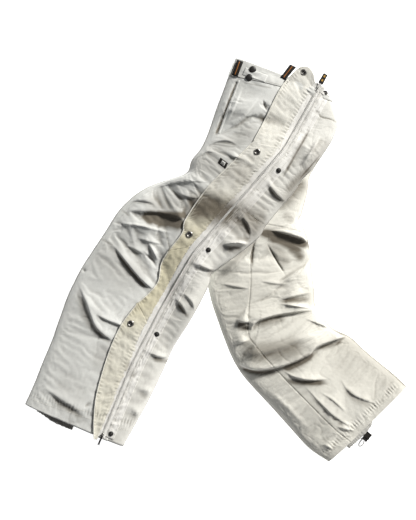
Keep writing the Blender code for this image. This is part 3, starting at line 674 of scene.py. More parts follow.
def caster(*objs):
    """A function giving the height of the highest of these surfaces over a point, or None."""
    trees = []
    for obj in objs:
        polygons = [tuple(p.vertices) for p in obj.data.polygons]
        trees.append(BVHTree.FromPolygons(coordinates(obj.data).tolist(), polygons))

    def height(x, y):
        found = [tree.ray_cast(Vector((x, y, ABOVE)), Vector((0, 0, -1)))[0] for tree in trees]
        found = [hit.z for hit in found if hit is not None]
        return max(found) if found else None

    return height


def highest(*heights):
    """A function giving the greatest of several heights over a point, or None where none of them has one."""
    def height(x, y):
        found = [z for z in (one(x, y) for one in heights) if z is not None]
        return max(found) if found else None

    return height


# ---- materials ---------------------------------------------------------------------------------
def new_material(name):
    material_ = bpy.data.materials.new(name)
    material_.use_nodes = True
    return material_, material_.node_tree, material_.node_tree.nodes["Principled BSDF"]


def feed(tree, sockets, values):
    """Each socket takes a number or a colour, or is linked to another socket."""
    for key, value in values.items():
        if isinstance(value, bpy.types.NodeSocket):
            tree.links.new(value, sockets[key])
        else:
            sockets[key].default_value = value


def new_node(tree, kind, inputs, **settings):
    node = tree.nodes.new("ShaderNode" + kind)
    for key, value in settings.items():
        setattr(node, key, value)
    feed(tree, node.inputs, inputs)
    return node


def mix_colour(tree, factor, first, second):
    """A colour mix; first and second are colours or sockets, factor is a socket."""
    node = new_node(tree, "Mix", {}, data_type="RGBA")
    for key, value in (("Factor", factor), ("A", first), ("B", second)):
        socket = next(s for s in node.inputs if s.name == key and s.enabled)
        feed(tree, {key: socket}, {key: value if isinstance(value, bpy.types.NodeSocket) else (*value, 1)})
    return next(s for s in node.outputs if s.enabled)


def noise_socket(tree, coords, scale, detail=3.0, low=0.35, high=0.65):
    noise = new_node(tree, "TexNoise", {"Vector": coords, "Scale": scale, "Detail": detail})
    ramp = new_node(tree, "MapRange", {"Value": noise.outputs["Fac"], "From Min": low, "From Max": high})
    return ramp.outputs["Result"]


def weave_height(tree, coords, pitch):
    """Crossed threads as a height: two sets of waves at right angles."""
    mapping = new_node(tree, "Mapping", {"Vector": coords, "Rotation": (0, 0, WEAVE_TURN)})
    inputs = {"Vector": mapping.outputs["Vector"], "Scale": 0.314 / pitch, "Distortion": 0.4}
    waves = [new_node(tree, "TexWave", inputs, bands_direction=axis).outputs["Fac"] for axis in "XY"]
    return new_node(tree, "Math", {0: waves[0], 1: waves[1]}, operation="MAXIMUM").outputs[0]


def bumped(tree, shader, height, strength, distance, **under):
    bump = new_node(tree, "Bump", {"Height": height, "Strength": strength, "Distance": distance, **under})
    tree.links.new(bump.outputs["Normal"], shader.inputs["Normal"])
    return bump.outputs["Normal"]


def cloth_material(name, colour, second, shade=PAINTED_SHADE_COLOUR, pitch=0.0011, roughness=0.85, crumple=0.10, blotch=5.0,
                   weave=0.35, aged=None):
    """Woven cloth: two close colours in soft blotches, darkened with painted shade in its folds, with a
    weave and fine crumples.
    Where the mesh's `age` is high it takes the aged colour."""
    material_, tree, shader = new_material(name)
    coords = new_node(tree, "TexCoord", {}).outputs["Object"]
    base = mix_colour(tree, noise_socket(tree, coords, blotch), colour, second)
    fleck = noise_socket(tree, coords, 420.0, 2.0, 0.3, 0.7)
    base = mix_colour(tree, fleck, base, [0.93 * c for c in colour])
    if aged is not None:
        age = new_node(tree, "Attribute", {}, attribute_name="age")
        base = mix_colour(tree, age.outputs["Fac"], base, aged)
    # Painted shade: the mesh's `shade` values mix the colour towards the shade colour
    depth = new_node(tree, "Attribute", {}, attribute_name="shade")
    scaled = new_node(tree, "Math", {0: depth.outputs["Fac"], 1: DEEPEST}, operation="MULTIPLY")
    base = mix_colour(tree, scaled.outputs[0], base, shade)
    feed(tree, shader.inputs, {"Base Color": base, "Roughness": roughness, "Sheen Weight": 0.15,
                               "Sheen Roughness": 0.5, "Specular IOR Level": 0.25})
    fine = noise_socket(tree, coords, 95.0, 4.0, 0.25, 0.75)
    under = bumped(tree, shader, fine, crumple, 0.0016)
    bumped(tree, shader, weave_height(tree, coords, pitch), weave, 0.0003, Normal=under)
    return material_


def hard_material(name, colour, second, roughness, metallic=0.0):
    """Plastic or metal with small spots of two close colours."""
    material_, tree, shader = new_material(name)
    coords = new_node(tree, "TexCoord", {}).outputs["Object"]
    spots = noise_socket(tree, coords, 300.0)
    feed(tree, shader.inputs, {"Base Color": mix_colour(tree, spots, colour, second), "Roughness": roughness,
                               "Metallic": metallic})
    bumped(tree, shader, spots, 0.15, 0.0003)
    return material_


# What each material is made of: its name, two colours and details.
CLOTHS = {
    # Painted light: the seat and right-leg copies of the shell cloth are warmer and lighter, standing for
    # warm light falling from the right; shell is the cooler, less lit copy
    "shell": ("shell_cloth", (0.715, 0.725, 0.705), (0.675, 0.685, 0.66), {}),
    "shell_warm_lit": ("shell_cloth_warm_lit", (0.8, 0.79, 0.73), (0.755, 0.74, 0.67), {}),
    "lining": ("flap_lining", (0.76, 0.76, 0.725), (0.735, 0.72, 0.655),
               dict(pitch=0.0008, blotch=10.0, crumple=0.20, aged=(0.64, 0.60, 0.44))),
    "shell_seat_lit": ("shell_cloth_seat_lit", (0.735, 0.732, 0.695), (0.69, 0.683, 0.64), {}),
    "tape": ("zip_tape", (0.86, 0.855, 0.83), (0.82, 0.81, 0.77), dict(pitch=0.0007)),
    "placket": ("placket_cloth", (0.88, 0.875, 0.85), (0.84, 0.83, 0.79), {}),
    "thread": ("sewing_thread", (0.66, 0.64, 0.58), (0.6, 0.58, 0.52), dict(pitch=0.0004, weave=0.6)),
    "webbing": ("black_webbing", (0.01, 0.009, 0.008), (0.018, 0.015, 0.012),
                dict(shade=(0.01, 0.01, 0.01), pitch=0.0016, weave=0.9, roughness=0.7)),
    "stripe": ("orange_stripe", (0.42, 0.16, 0.035), (0.34, 0.12, 0.03),
               dict(shade=(0.1, 0.05, 0.02), pitch=0.0012, weave=0.8)),
    "gaiter": ("gaiter_cloth", (0.4, 0.39, 0.36), (0.16, 0.15, 0.13),
               dict(shade=(0.02, 0.02, 0.018), pitch=0.001, blotch=30.0)),
    "elastic": ("gaiter_elastic", (0.58, 0.575, 0.545), (0.44, 0.435, 0.41),
                dict(shade=(0.05, 0.05, 0.05), pitch=0.0018, weave=0.9)),
    "label": ("label_cloth", (0.72, 0.72, 0.7), (0.66, 0.66, 0.64), dict(pitch=0.0006)),
}
HARD = {
    "teeth": ("zip_teeth", (0.84, 0.835, 0.81), (0.76, 0.755, 0.73), dict(roughness=0.45)),
    "black": ("black_plastic", (0.014, 0.013, 0.012), (0.022, 0.021, 0.02), dict(roughness=0.42)),
    "metal": ("snap_metal", (0.42, 0.41, 0.39), (0.3, 0.29, 0.275), dict(roughness=0.34, metallic=1.0)),
    "gold": ("pull_marks", (0.55, 0.33, 0.07), (0.48, 0.27, 0.05), dict(roughness=0.5)),
}


def make_materials():
    mats = {key: cloth_material(*row, **more) for key, (*row, more) in CLOTHS.items()}
    mats.update((key, hard_material(*row, **more)) for key, (*row, more) in HARD.items())
    return mats


# ---- building ----------------------------------------------------------------------------------
def fixed(obj, body, slot_name, *nodes):
    """The piece rides a body and stands for these nodes; slot_name is not used."""
    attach(obj, body)
    if nodes:
        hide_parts(*nodes)
    return obj


def build_left_leg(mats):
    t = np.linspace(0, 12, 300)
    one = np.ones(len(t))
    at_zip = zip_share(LEFT, t)
    front = upper_cloth("left_front_cloth", LEFT, t, 0 * one, at_zip - 0.004, 66, mats["shell"])
    # the back takes the warmer, lighter copy of the shell: painted warm light
    back = upper_cloth("left_back_cloth", LEFT, t, at_zip + 0.004, one, 50, mats["shell_seat_lit"])
    under = under_cloth("left_under_cloth", LEFT, np.linspace(0, 12, 200), mats["shell"])
    fixed(front, LEFT_BODY, "shell", "left_hip_front_panel", "left_thigh_front_panel",
          "left_knee_front_panel", "left_shin_front_panel")
    fixed(back, LEFT_BODY, "shell", "left_yoke_panel", "left_seat_panel", "left_thigh_back_panel",
          "left_calf_panel")
    fixed(under, LEFT_BODY, "shell", "left_inner_thigh_panel", "left_inner_shin_panel")
    return front, back, at_zip


def build_right_leg(mats):
    t = np.linspace(2.3, 11, 260)
    one = np.ones(len(t))
    # the right leg takes the warm, lighter copy of the shell: painted warm light
    upper = upper_cloth("right_leg_cloth", RIGHT, t, 0 * one, one, 92, mats["shell_warm_lit"])
    under = under_cloth("right_under_cloth", RIGHT, np.linspace(2.3, 11, 160), mats["shell_warm_lit"])
    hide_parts("right_thigh_front_panel", "right_thigh_back_panel", "right_shin_front_panel",
                "right_calf_panel")
    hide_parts("right_thigh_outer_panel", "right_shin_outer_panel")
    knee = Vector((0.112, -0.088, 0))
    along = Vector((0.42, -0.90, 0)).normalized()
    start, end = knee - along * KNEE_REACH, knee + along * KNEE_REACH
    for obj in (upper, under):
        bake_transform(obj)
    t = np.linspace(0, 2.9, 60)
    x, y, _, _ = leg_grid(RIGHT, t, 0 * t + 0.06, 0 * t + 0.94, 40)
    z = 0.0008 + 0.0055 + 0.0012 * wobble(x, y, 0.05, 3)
    hip = surface("right_hip_cloth", x, y, z, mats["shell"], CLOTH)
    fixed(hip, LEFT_BODY, "shell", "right_hip_panel", "waistband_right")
    return upper, start, end


# ---- pieces that lie on the cloth --------------------------------------------------------------
FLAP_EDGE = [
    mm((206, 466), (174, 436), (149, 400), (115, 331), (88, 280)),
    mm((88, 280), (37, 229), (-24, 167), (-73, 95), (-80, 64), (-114, 20)),
    mm((-114, 20), (-131, -11), (-138, -52), (-162, -82), (-188, -104)),
    mm((-188, -104), (-224, -152), (-249, -203), (-270, -264), (-286, -325), (-292, -380), (-292, -431)),
]
SNAP_SOCKETS = mm((212, 450), (99, 256), (-62, 60), (-203, -153))
SNAP_SECTIONS = [0, 1, 1, 3]
SNAP_STUDS = mm((264, 401), (150, 212), (-17, 23), (-141, -179), (-251, -418))


def left_of(path):
    """The unit vector to the left of the path's run at each of its points."""
    t = np.gradient(path, axis=0)
    t = t / np.linalg.norm(t, axis=1)[:, None]
    return np.stack([-t[:, 1], t[:, 0]], axis=1)


def heights_at(height, points):
    """Heights of the cloth under a grid or row of plan points; one off the cloth takes its neighbour's."""
    out, last = [], 0.02
    for x, y in points.reshape(-1, 2):
        z = height(x, y)
        last = last if z is None else z
        out.append(last)
    return np.array(out).reshape(points.shape[:-1])


def ribbon(name, path, low, high, height, lift, material_, columns=8, wave=None):
    """A strip beside a path, from offset low to high on its left, lying on the cloth."""
    side = left_of(path)
    n = len(path)
    low, high = np.broadcast_to(low, n), np.broadcast_to(high, n)
    s = np.linspace(0, 1, columns)
    offset = low[:, None] * (1 - s) + high[:, None] * s
    xy = path[:, None, :] + side[:, None, :] * offset[..., None]
    x, y = xy[..., 0], xy[..., 1]
    z = heights_at(height, xy)
    z = np.maximum(z, (np.roll(z, 1, 0) + np.roll(z, -1, 0)) / 2 - 0.0004)
    if wave is not None:
        z = z + wave(x, y)
    return surface(name, x, y, z + lift, material_, THIN, folded_shade(LEFT, x, y, z, 6))


def patch(name, corners, height, lift, material_, rows=10, columns=6, bulge=0.0, thickness=0.0012, tuck=0.0):
    """A four-cornered piece on the cloth; corners run round it.
    Its edges lie `tuck` lower than its middle."""
    a, b, c, d = (np.asarray(p, float) for p in corners)
    u, v = np.meshgrid(np.linspace(0, 1, columns), np.linspace(0, 1, rows))
    xy = (a * ((1 - u) * (1 - v))[..., None] + b * (u * (1 - v))[..., None]
          + c * (u * v)[..., None] + d * ((1 - u) * v)[..., None])
    z = heights_at(height, xy)
    z = 0.5 * z + 0.5 * z.max() if bulge else z
    rim = (u < 1e-6) | (u > 1 - 1e-6) | (v < 1e-6) | (v > 1 - 1e-6)
    z = z + lift + bulge * np.sin(math.pi * v) ** 0.6 - tuck * rim
    return surface(name, xy[..., 0], xy[..., 1], z, material_, thickness, np.zeros_like(z))


def blocks(name, centres, along, size, material_):
    """Many small bars in one mesh: stitches, or the teeth of the zip. size is length, width, height."""
    centres, along = np.asarray(centres, float), np.asarray(along, float)
    along = along / np.linalg.norm(along, axis=1)[:, None]
    side = np.cross([0, 0, 1.0], along)
    side = side / np.linalg.norm(side, axis=1)[:, None]
    up = np.cross(along, side)
    points = []
    for a, b, c in [(-1, -1, -1), (1, -1, -1), (1, 1, -1), (-1, 1, -1),
                    (-0.7, -0.6, 1), (0.7, -0.6, 1), (0.7, 0.6, 1), (-0.7, 0.6, 1)]:
        points.append(centres + along * a * size[0] / 2 + side * b * size[1] / 2 + up * c * size[2] / 2)
    points = np.stack(points, axis=1).reshape(-1, 3)
    box = np.array([[0, 3, 2, 1], [4, 5, 6, 7], [0, 1, 5, 4], [1, 2, 6, 5], [2, 3, 7, 6], [3, 0, 4, 7]])
    faces = (box[None] + 8 * np.arange(len(centres))[:, None, None]).reshape(-1, 4)
    mesh = bpy.data.meshes.new(name)
    mesh.from_pydata(points.tolist(), [], faces.tolist())
    return linked(name, mesh, material_)


def stitch_rows(name, rows, height, material_):
    """Rows of stitches lying on the cloth; a row is (points, offset to its left)."""
    centres, along = [], []
    for points, offset in rows:
        path = dense(curve_points(points, 0.002) if len(points) < 40 else points, STITCH_PITCH)
        xy = path + left_of(path) * offset
        line = np.column_stack([xy, heights_at(height, xy) + STITCH_LIFT])
        centres.append(line)
        along.append(np.gradient(line, axis=0))
    return blocks(name, np.vstack(centres), np.vstack(along), STITCH, material_)


def turned(name, profile, centre, material_):
    """A piece turned round an upright axis, from (radius, height) points."""
    angles = np.linspace(0, 2 * math.pi, 32, endpoint=False)
    r, h = profile[:, :1], profile[:, 1:] + 0 * angles
    x, y = centre[0] + r * np.cos(angles), centre[1] + r * np.sin(angles)
    obj = surface(name, x, y, centre[2] + h, material_, closed=True)
    tidy_faces(obj.data)
    return obj


def tidy_faces(mesh):
    bm = bmesh.new()
    bm.from_mesh(mesh)
    bmesh.ops.remove_doubles(bm, verts=bm.verts, dist=1e-6)
    bmesh.ops.recalc_face_normals(bm, faces=bm.faces)
    bm.to_mesh(mesh)
    bm.free()


def bar(name, centre, size, along, material_, bevel=0.0008, taper=1.0):
    """A bevelled bar: size is length, width, height; along is its long direction.
    taper narrows its far end."""
    along = Vector(along).normalized()
    side = Vector((0, 0, 1)).cross(along).normalized()
    up = along.cross(side)
    bm = bmesh.new()
    bmesh.ops.create_cube(bm, size=1)
    for v in bm.verts:
        narrow = taper if v.co.x > 0 else 1.0
        v.co = (Vector(centre) + along * v.co.x * size[0] + side * v.co.y * size[1] * narrow
                + up * v.co.z * size[2])
    bmesh.ops.bevel(bm, geom=bm.edges[:], offset=bevel, segments=3, affect="EDGES")
    bmesh.ops.recalc_face_normals(bm, faces=bm.faces)
    mesh = bpy.data.meshes.new(name)
    bm.to_mesh(mesh)
    bm.free()
    return linked(name, mesh, material_)


def tube(name, points, radius, material_, closed=False):
    """A round cord or wire along points."""
    curve = bpy.data.curves.new(name, "CURVE")
    curve.dimensions = "3D"
    curve.bevel_depth = radius
    curve.bevel_resolution = CORD_SIDES // 4
    curve.use_fill_caps = True
    spline = curve.splines.new("NURBS")
    spline.points.add(len(points) - 1)
    for point, co in zip(spline.points, points):
        point.co = (*co, 1)
    spline.order_u = 3
    spline.use_endpoint_u = True
    spline.use_cyclic_u = closed
    obj = bpy.data.objects.new(name, curve)
    bpy.context.scene.collection.objects.link(obj)
    bpy.context.view_layer.update()
    mesh = bpy.data.meshes.new_from_object(obj.evaluated_get(bpy.context.evaluated_depsgraph_get()))
    bpy.data.objects.remove(obj)
    mesh.name = name
    mesh.polygons.foreach_set("use_smooth", np.ones(len(mesh.polygons), bool))
    return linked(name, mesh, material_)


# ---- the storm flap ----------------------------------------------------------------------------
def flap_plan(index, a, b):
    """Plan point of a flap section: a runs from its fold to its free edge, b down the leg."""
    start, end = (np.asarray(p, float) for p in FLAP_FOLD[index : index + 2])
    fold = start * (1 - b)[..., None] + end * b[..., None]
    edge = FLAP_EDGE[index]
    free = catmull(edge, np.clip(b, 0, 1) * (len(edge) - 1))
    point = fold + (free - fold) * a[..., None]
    if index == 0:
        down = (end - start) / np.linalg.norm(end - start)
        round_off = 0.006 * np.clip(1 - b / 0.10, 0, 1) ** 2 * np.clip((a - 0.55) / 0.45, 0, 1) ** 2
        bulge_ = 0.015 * np.clip(1 - b / 0.12, 0, 1) * np.sin(math.pi * np.clip(a, 0, 1)) ** 0.7
        point = point + down * (round_off - bulge_)[..., None]
    return point


def build_flap(mats, height):
    made = []
    for index, body in enumerate(FLAP_BODIES):
        edge = dense(catmull(FLAP_EDGE[index], np.linspace(0, len(FLAP_EDGE[index]) - 1, 60)), 0.003)
        b, a = np.meshgrid(np.linspace(-0.004, 1.004, len(edge)), np.linspace(0, 1, 26), indexing="ij")
        xy = flap_plan(index, a, b)
        x, y = xy[..., 0], xy[..., 1]
        z = heights_at(height, xy)
        z = z + 0.0003 + 0.0020 * smooth(0, 0.14, a) + 0.0016 * smooth(0.75, 1.0, a)
        z = z + 0.0010 * wobble(x, y, 0.030, 50) + 0.0006 * wobble(x, y, 0.013, 51)
        along = np.cumsum(np.linalg.norm(np.diff(edge, axis=0, prepend=edge[:1]), axis=1))[:, None]
        gather = np.sin(along / GATHER_PITCH * 2 * math.pi + 3 * wobble(x, y, 0.05, 52))
        uneven = np.clip(0.8 + 1.4 * wobble(x, y, 0.04, 53), 0.1, 1.8)
        at_stitches = np.exp(-((a - 0.88) / 0.10) ** 2) + 0.6 * np.exp(-((a - 0.14) / 0.08) ** 2)
        z = z + 0.0009 * uneven * gather * at_stitches
        z = z + crinkles(x, y, 0.034, 0.0009, 55) + crinkles(x, y, 0.022, 0.0006, 57)
        z = z + (0.0002 if index % 2 else 0.0)
        shade = folded_shade(LEFT, x, y, z, 8)
        obj = surface(f"{FLAP_NODES[index]}_cloth", x, y, z, mats["lining"], 0.0, shade)
        age = 0.06 + 0.88 * smooth(0.20, 0.02, y) * (1 - 0.66 * smooth(-0.10, -0.20, y))
        vertex_values(obj.data, "age", age)
        thicken(obj, FLAP_CLOTH)
        fixed(obj, body, "lining", FLAP_NODES[index])
        made.append(obj)
    return made


def flap_trim(mats, flaps):
    for flap, body, node, index in zip(flaps, FLAP_BODIES, FLAP_NODES, range(4)):
        height = caster(flap)
        b = np.linspace(0.01, 0.99, 80)
        rows = [(flap_plan(index, np.full(80, a), b), 0.0) for a in (0.06, 0.90, 0.955)]
        fixed(stitch_rows(f"{node}_stitches", rows, height, mats["thread"]), body, "lining")
        edge = flap_plan(index, np.full(80, 0.985), b)
        line = np.column_stack([edge, heights_at(height, edge) + 0.0002])[::2]
        # the binding takes the warm, lighter copy of the shell: painted warm light
        fixed(tube(f"{node}_binding", line, 0.0011, mats["shell_warm_lit"]), body, "lining")
    ring = mm((4.2, 0), (7.8, 0), (8, 1), (7, 2), (5.8, 2.4), (4.5, 1.9), (4, 0.6), (4.2, 0))
    cup = mm((0, 0.6), (2.2, 0.6), (2.6, 1.4), (3.6, 1.4), (4.1, 0.4), (0, 0))
    for number, ((x, y), section) in enumerate(zip(SNAP_SOCKETS, SNAP_SECTIONS), 1):
        centre = (x, y, caster(flaps[section])(x, y) + 0.0002)
        fixed(turned(f"snap_socket_ring_{number}", ring, centre, mats["metal"]), FLAP_BODIES[section],
              "snap_metal", f"flap_snap_socket_{number}")
        fixed(turned(f"snap_socket_cup_{number}", cup, centre, mats["black"]), FLAP_BODIES[section],
              "snap_metal")


# ---- the zip -----------------------------------------------------------------------------------
def placket_gathers(x, y):
    """The gathers along the two stitched edges of the placket."""
    edge = puckers(x, y, ZIP, 0.0265, 0.0050, 0.0066, 0.0009, 63)
    edge = edge + puckers(x, y, ZIP, 0.013, 0.0035, 0.0058, 0.0006, 65)
    return edge * np.clip(0.7 + 1.3 * wobble(x, y, 0.05, 67), 0, 1.7) + 0.0004 * wobble(x, y, 0.014, 61)


def build_zip(mats, height):
    path = dense(ZIP, 0.004)
    front = ribbon("zip_tape_front_cloth", path, -TAPE_EDGE, -TAPE_GAP, height, 0.0008, mats["tape"])
    back = ribbon("zip_tape_back_cloth", path, TAPE_GAP, TAPE_EDGE, height, 0.0008, mats["tape"])
    fixed(front, LEFT_BODY, "zip", "zip_tape_front")
    fixed(back, LEFT_BODY, "zip", "zip_tape_back")
    row = dense(ZIP, TOOTH_PITCH)
    side = left_of(row)
    flip = np.where(np.arange(len(row)) % 2 == 0, 1.0, -1.0)[:, None]
    z = heights_at(caster(front, back), row + side * 0.0025 * flip)
    z = np.convolve(np.pad(z, 6, mode="edge"), np.ones(13) / 13, mode="valid") + 0.0010
    centres = np.column_stack([row + side * 0.0006 * flip, z + 0.0003])
    across = np.column_stack([side, 0 * z])
    fixed(blocks("zip_teeth", centres, across, TOOTH, mats["teeth"]), LEFT_BODY, "zip", "zip_chain")
    width = np.interp(path[:, 1], [-0.43, -0.05, 0.05, 0.42], [0.016, 0.016, 0.021, 0.022])
    middle = path[3:-2]
    placket = ribbon("zip_placket_cloth", middle, PLACKET_EDGE, 0.0125 + width[3:-2], height, 0.0012,
                     mats["placket"], 22, placket_gathers)
    fixed(placket, LEFT_BODY, "zip", "zip_placket")
    rows = [(middle, 0.0115), (middle, 0.0150), (middle, 0.0265), (path, 0.0100), (path, -0.0100)]
    top = highest(caster(placket, back), height)
    fixed(stitch_rows("zip_stitches", rows, top, mats["thread"]), LEFT_BODY, "zip")
    return placket


def build_studs(mats, height):
    stud = mm((0, 0), (6, 0), (6.1, 0.9), (5.2, 1.8), (3.6, 2), (2.8, 1.4), (2.4, 3), (1.2, 3.6), (0, 3.6))
    for number, (x, y) in enumerate(SNAP_STUDS, 1):
        centre = (x, y, height(x, y) + 0.0002)
        fixed(turned(f"zip_stud_{number}_cap", stud, centre, mats["black"]), LEFT_BODY, "snap_metal",
              f"zip_stud_{number}")
    cap = mm((0, 0), (8.4, 0), (8.7, 0.9), (8.1, 2), (6.6, 2.9), (3.5, 3.5), (0, 3.6))
    for name, (x, y) in {"waist_snap_upper": (0.089, 0.456), "waist_snap_lower": (0.081, 0.437)}.items():
        centre = (x, y, height(x, y) + 0.0004)
        fixed(turned(f"{name}_cap", cap, centre, mats["black"]), LEFT_BODY, "black_plastic", name)


def cad_centre(node):
    low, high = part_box(node)
    return (low + high) / 2


def build_slider(mats, which, along, length, width, out_by, reach, link_material, marks=()):
    """Slider body with its bridge, and the pull that hangs on it: its tab, moved out_by, the link that
    reaches back to the bridge, and plain marks at places along the tab."""
    body, pull_body = f"{which}_slider", f"{which}_pull"
    centre = cad_centre(f"{body}_body")
    along = Vector(along).normalized()
    lower = centre - Vector((0, 0, 0.0008))
    shell_ = bar(f"{body}_shell", lower, (0.0125, 0.0095, 0.0028), along, mats["teeth"], 0.0010, 0.72)
    fixed(shell_, body, "black_plastic", f"{body}_body")
    arch = [centre + along * x + Vector((0, 0, z)) for x, z in
            mm((-4.5, 0.2), (-4.2, 3.8), (0, 5.2), (4.2, 3.8), (4.5, 0.2)).tolist()]
    fixed(tube(f"{body}_bridge", arch, 0.0009, mats["metal"]), body, "snap_metal")
    middle = cad_centre(f"{body}_pull")
    out = middle - centre
    out.z = 0
    out.normalize()
    side = Vector((-out.y, out.x, 0))
    middle = middle + out * out_by
    tab = bar(f"{body}_pull_tab", middle, (length, width, 0.0026), out, mats["black"], 0.0009, 0.86)
    fixed(tab, pull_body, "pull", f"{body}_pull")
    near = middle - out * length / 2
    link = [near + out * x + side * y for x, y in
            ((0.003, 0.0022), (-0.003, 0.0030), (-reach, 0.0014), (-reach, -0.0014), (-0.003, -0.0030),
             (0.003, -0.0022))]
    fixed(tube(f"{body}_pull_link", link, 0.0008, mats[link_material], closed=True), pull_body, "pull")
    for number, place in enumerate(marks, 1):
        mark = bar(f"{body}_pull_mark_{number}", middle + out * place + Vector((0, 0, 0.0014)),
                   (0.0055, 0.0042, 0.0006), out, mats["gold"], 0.0002)
        fixed(mark, pull_body, "pull")


# ---- waist, pocket and trim --------------------------------------------------------------------
def band_piece(side, low, high, columns, mats, height):
    """Part of the waistband between two shares of the leg's width."""
    v, s = np.meshgrid(np.linspace(0, 1, 32), np.linspace(0, 1, columns), indexing="ij")
    u = low + (high - low) * s
    t = v * (0.55 - 0.22 * u)
    xy = leg_plan(LEFT, t, u)
    x, y = xy[..., 0], xy[..., 1]
    arch = np.sin(math.pi * v)
    z = np.maximum(leg_height(LEFT, x, y, t, u), heights_at(height, xy) - 0.0002)
    z = z + 0.0009 + 0.0016 * arch**0.5
    z = z + 0.0006 * wobble(x, y, 0.022, 71) * arch
    # Painted shade: a little over the whole band, a dark line along its lower edge and another just above it
    painted_band_shade = 0.08 + 0.40 * np.exp(-(((1 - v) / 0.05) ** 2)) + 0.30 * np.exp(-(((v - 0.86) / 0.03) ** 2))
    obj = surface(f"waistband_{side}_cloth", x, y, z, mats["shell"], THIN, painted_band_shade)
    return fixed(obj, LEFT_BODY, "shell", f"waistband_left_{side}")


def build_trim(mats, height, at_zip):
    front = band_piece("front", 0.0, at_zip[0] - 0.045, 60, mats, height)
    back = band_piece("back", at_zip[0] + 0.03, 1.0, 14, mats, height)
    top = highest(caster(front, back), height)
    tab = patch("waist_tab_cloth", mm((72, 462), (126, 442), (118, 424), (64, 444)), top, 0.0013,
                mats["shell"], 14, 30, 0, 0.0008, 0.0009)
    fixed(tab, LEFT_BODY, "shell", "waist_tab")
    loops = {"belt_loop_front": mm((52, 481), (67, 476), (53, 439), (39, 444)),
             "belt_loop_side": mm((179, 469), (194, 462), (167.5, 431), (155, 437))}
    for name, (a, b, c, d) in loops.items():
        strap = patch(f"{name}_strap", (a, b, c, d), top, 0.0012, mats["webbing"], 14, 7, 0.0016)
        fixed(strap, LEFT_BODY, "webbing", name)
        lane = [a + (b - a) * 0.40, a + (b - a) * 0.53, d + (c - d) * 0.53, d + (c - d) * 0.40]
        lane = [p + (q - p) * 0.08 for p, q in zip(lane, lane[::-1])]
        stripe = patch(f"{name}_stripe", lane, caster(strap), 0.0004, mats["stripe"], 14, 3, 0, 0.0004)
        fixed(stripe, LEFT_BODY, "webbing")
    tail = patch("belt_loop_side_tail", mm((170, 434), (178, 430), (170, 421), (163, 426)), top, 0.0008,
                 mats["webbing"], 4, 4)
    fixed(tail, LEFT_BODY, "webbing")
    welt = patch("hand_pocket_lip", mm((54.5, 432.5), (59, 430.5), (10, 300), (5.5, 302)), top, 0.0009,
                 mats["shell"], 60, 5, 0, 0.0007, 0.0008)
    fixed(welt, LEFT_BODY, "shell", "hand_pocket_welt")
    a, b, c, d = mm((12, 243), (30, 229), (23, 216), (5, 230))
    label = patch("thigh_label_patch", (a, b, c, d), top, 0.0006, mats["webbing"], 8, 8, 0, 0.0008)
    fixed(label, LEFT_BODY, "label", "thigh_label")
    inner = [a * 0.70 + c * 0.18 + b * 0.12, b * 0.74 + d * 0.18 + a * 0.08, c * 0.74 + a * 0.18 + d * 0.08,
             d * 0.70 + b * 0.18 + c * 0.12]
    on_label = caster(label)
    fixed(patch("thigh_label_field", inner, on_label, 0.0003, mats["label"], 6, 6, 0, 0.0003), LEFT_BODY,
          "label")
    for number, place in enumerate((0.30, 0.62), 1):
        p, q = inner[0] + (inner[3] - inner[0]) * place, inner[1] + (inner[2] - inner[1]) * place
        thick = (inner[3] - inner[0]) * 0.14
        p, q = p + (q - p) * 0.15, p + (q - p) * 0.85
        lane = [p, q, q + thick, p + thick]
        line = patch(f"thigh_label_bar_{number}", lane, on_label, 0.0008, mats["webbing"], 3, 6, 0, 0.0002)
        fixed(line, LEFT_BODY, "label")
    return highest(caster(tab), top)


# How far each inner cuff shows past the hem, over the share u of the leg's width.
def left_cuff_reach(u):
    return 0.004 + 0.008 * smooth(0.14, 0.34, u)


def right_cuff_reach(u):
    return -0.006 + 0.017 * smooth(0.64, 0.46, u)


def build_gaiter(node, leg, low, high, reach, cloth, body):
    """The gathered inner cuff that shows below the hem, a flattened tube between shares low and high."""
    a, ww = np.meshgrid(np.linspace(0, 2 * math.pi, 140, endpoint=False), np.linspace(0, 1, 16))
    centre, half = (low + high) / 2, (high - low) / 2
    u = centre + half * np.sign(np.cos(a)) * np.abs(np.cos(a)) ** 0.8
    hem = leg_plan(leg, np.full(a.shape, leg["stations"]), u)
    before, end = leg_plan(leg, np.array([leg["stations"] - 1.0, leg["stations"]]), np.array([0.5, 0.5]))
    out = (end - before) / np.linalg.norm(end - before)
    depth = -0.040 + (0.040 + reach(u)) * ww
    gather = 0.0011 * np.sin(46 * a + 2.5 * np.sin(3 * a)) * smooth(0.2, 1.0, ww)
    xy = hem + out * (depth + 0.0005 * np.sin(23 * a) * ww)[..., None]
    z = np.maximum(0.0085 + (0.0062 + gather) * np.sin(a), 0.0006)
    obj = surface(f"{node}_cuff", xy[..., 0], xy[..., 1], z, cloth, THIN, 0 * z, closed=True)
    return fixed(obj, body, "gaiter", node)


def build_hook(mats):
    out, side = Vector((-0.62, -0.78, 0)), Vector((0.78, -0.62, 0))
    stub = bar("hook_webbing_stub", cad_centre("hook_webbing"), (0.015, 0.016, 0.0026), out, mats["webbing"])
    fixed(stub, SHIN, "webbing", "hook_webbing")
    middle = cad_centre("boot_lace_hook")
    wire = [middle + out * x + side * y for x, y in
            mm((-12, -4.2), (0, -5.5), (9, -4), (12.5, 0), (9, 4), (2, 5.2), (-3, 4), (-4, 1.5)).tolist()]
    fixed(tube("boot_hook_wire", wire, 0.0011, mats["metal"]), "boot_hook", "snap_metal", "boot_lace_hook")
    fixed(bar("boot_hook_block", middle - out * 0.011, (0.009, 0.013, 0.0050), out, mats["black"], 0.0014),
          "boot_hook", "snap_metal")


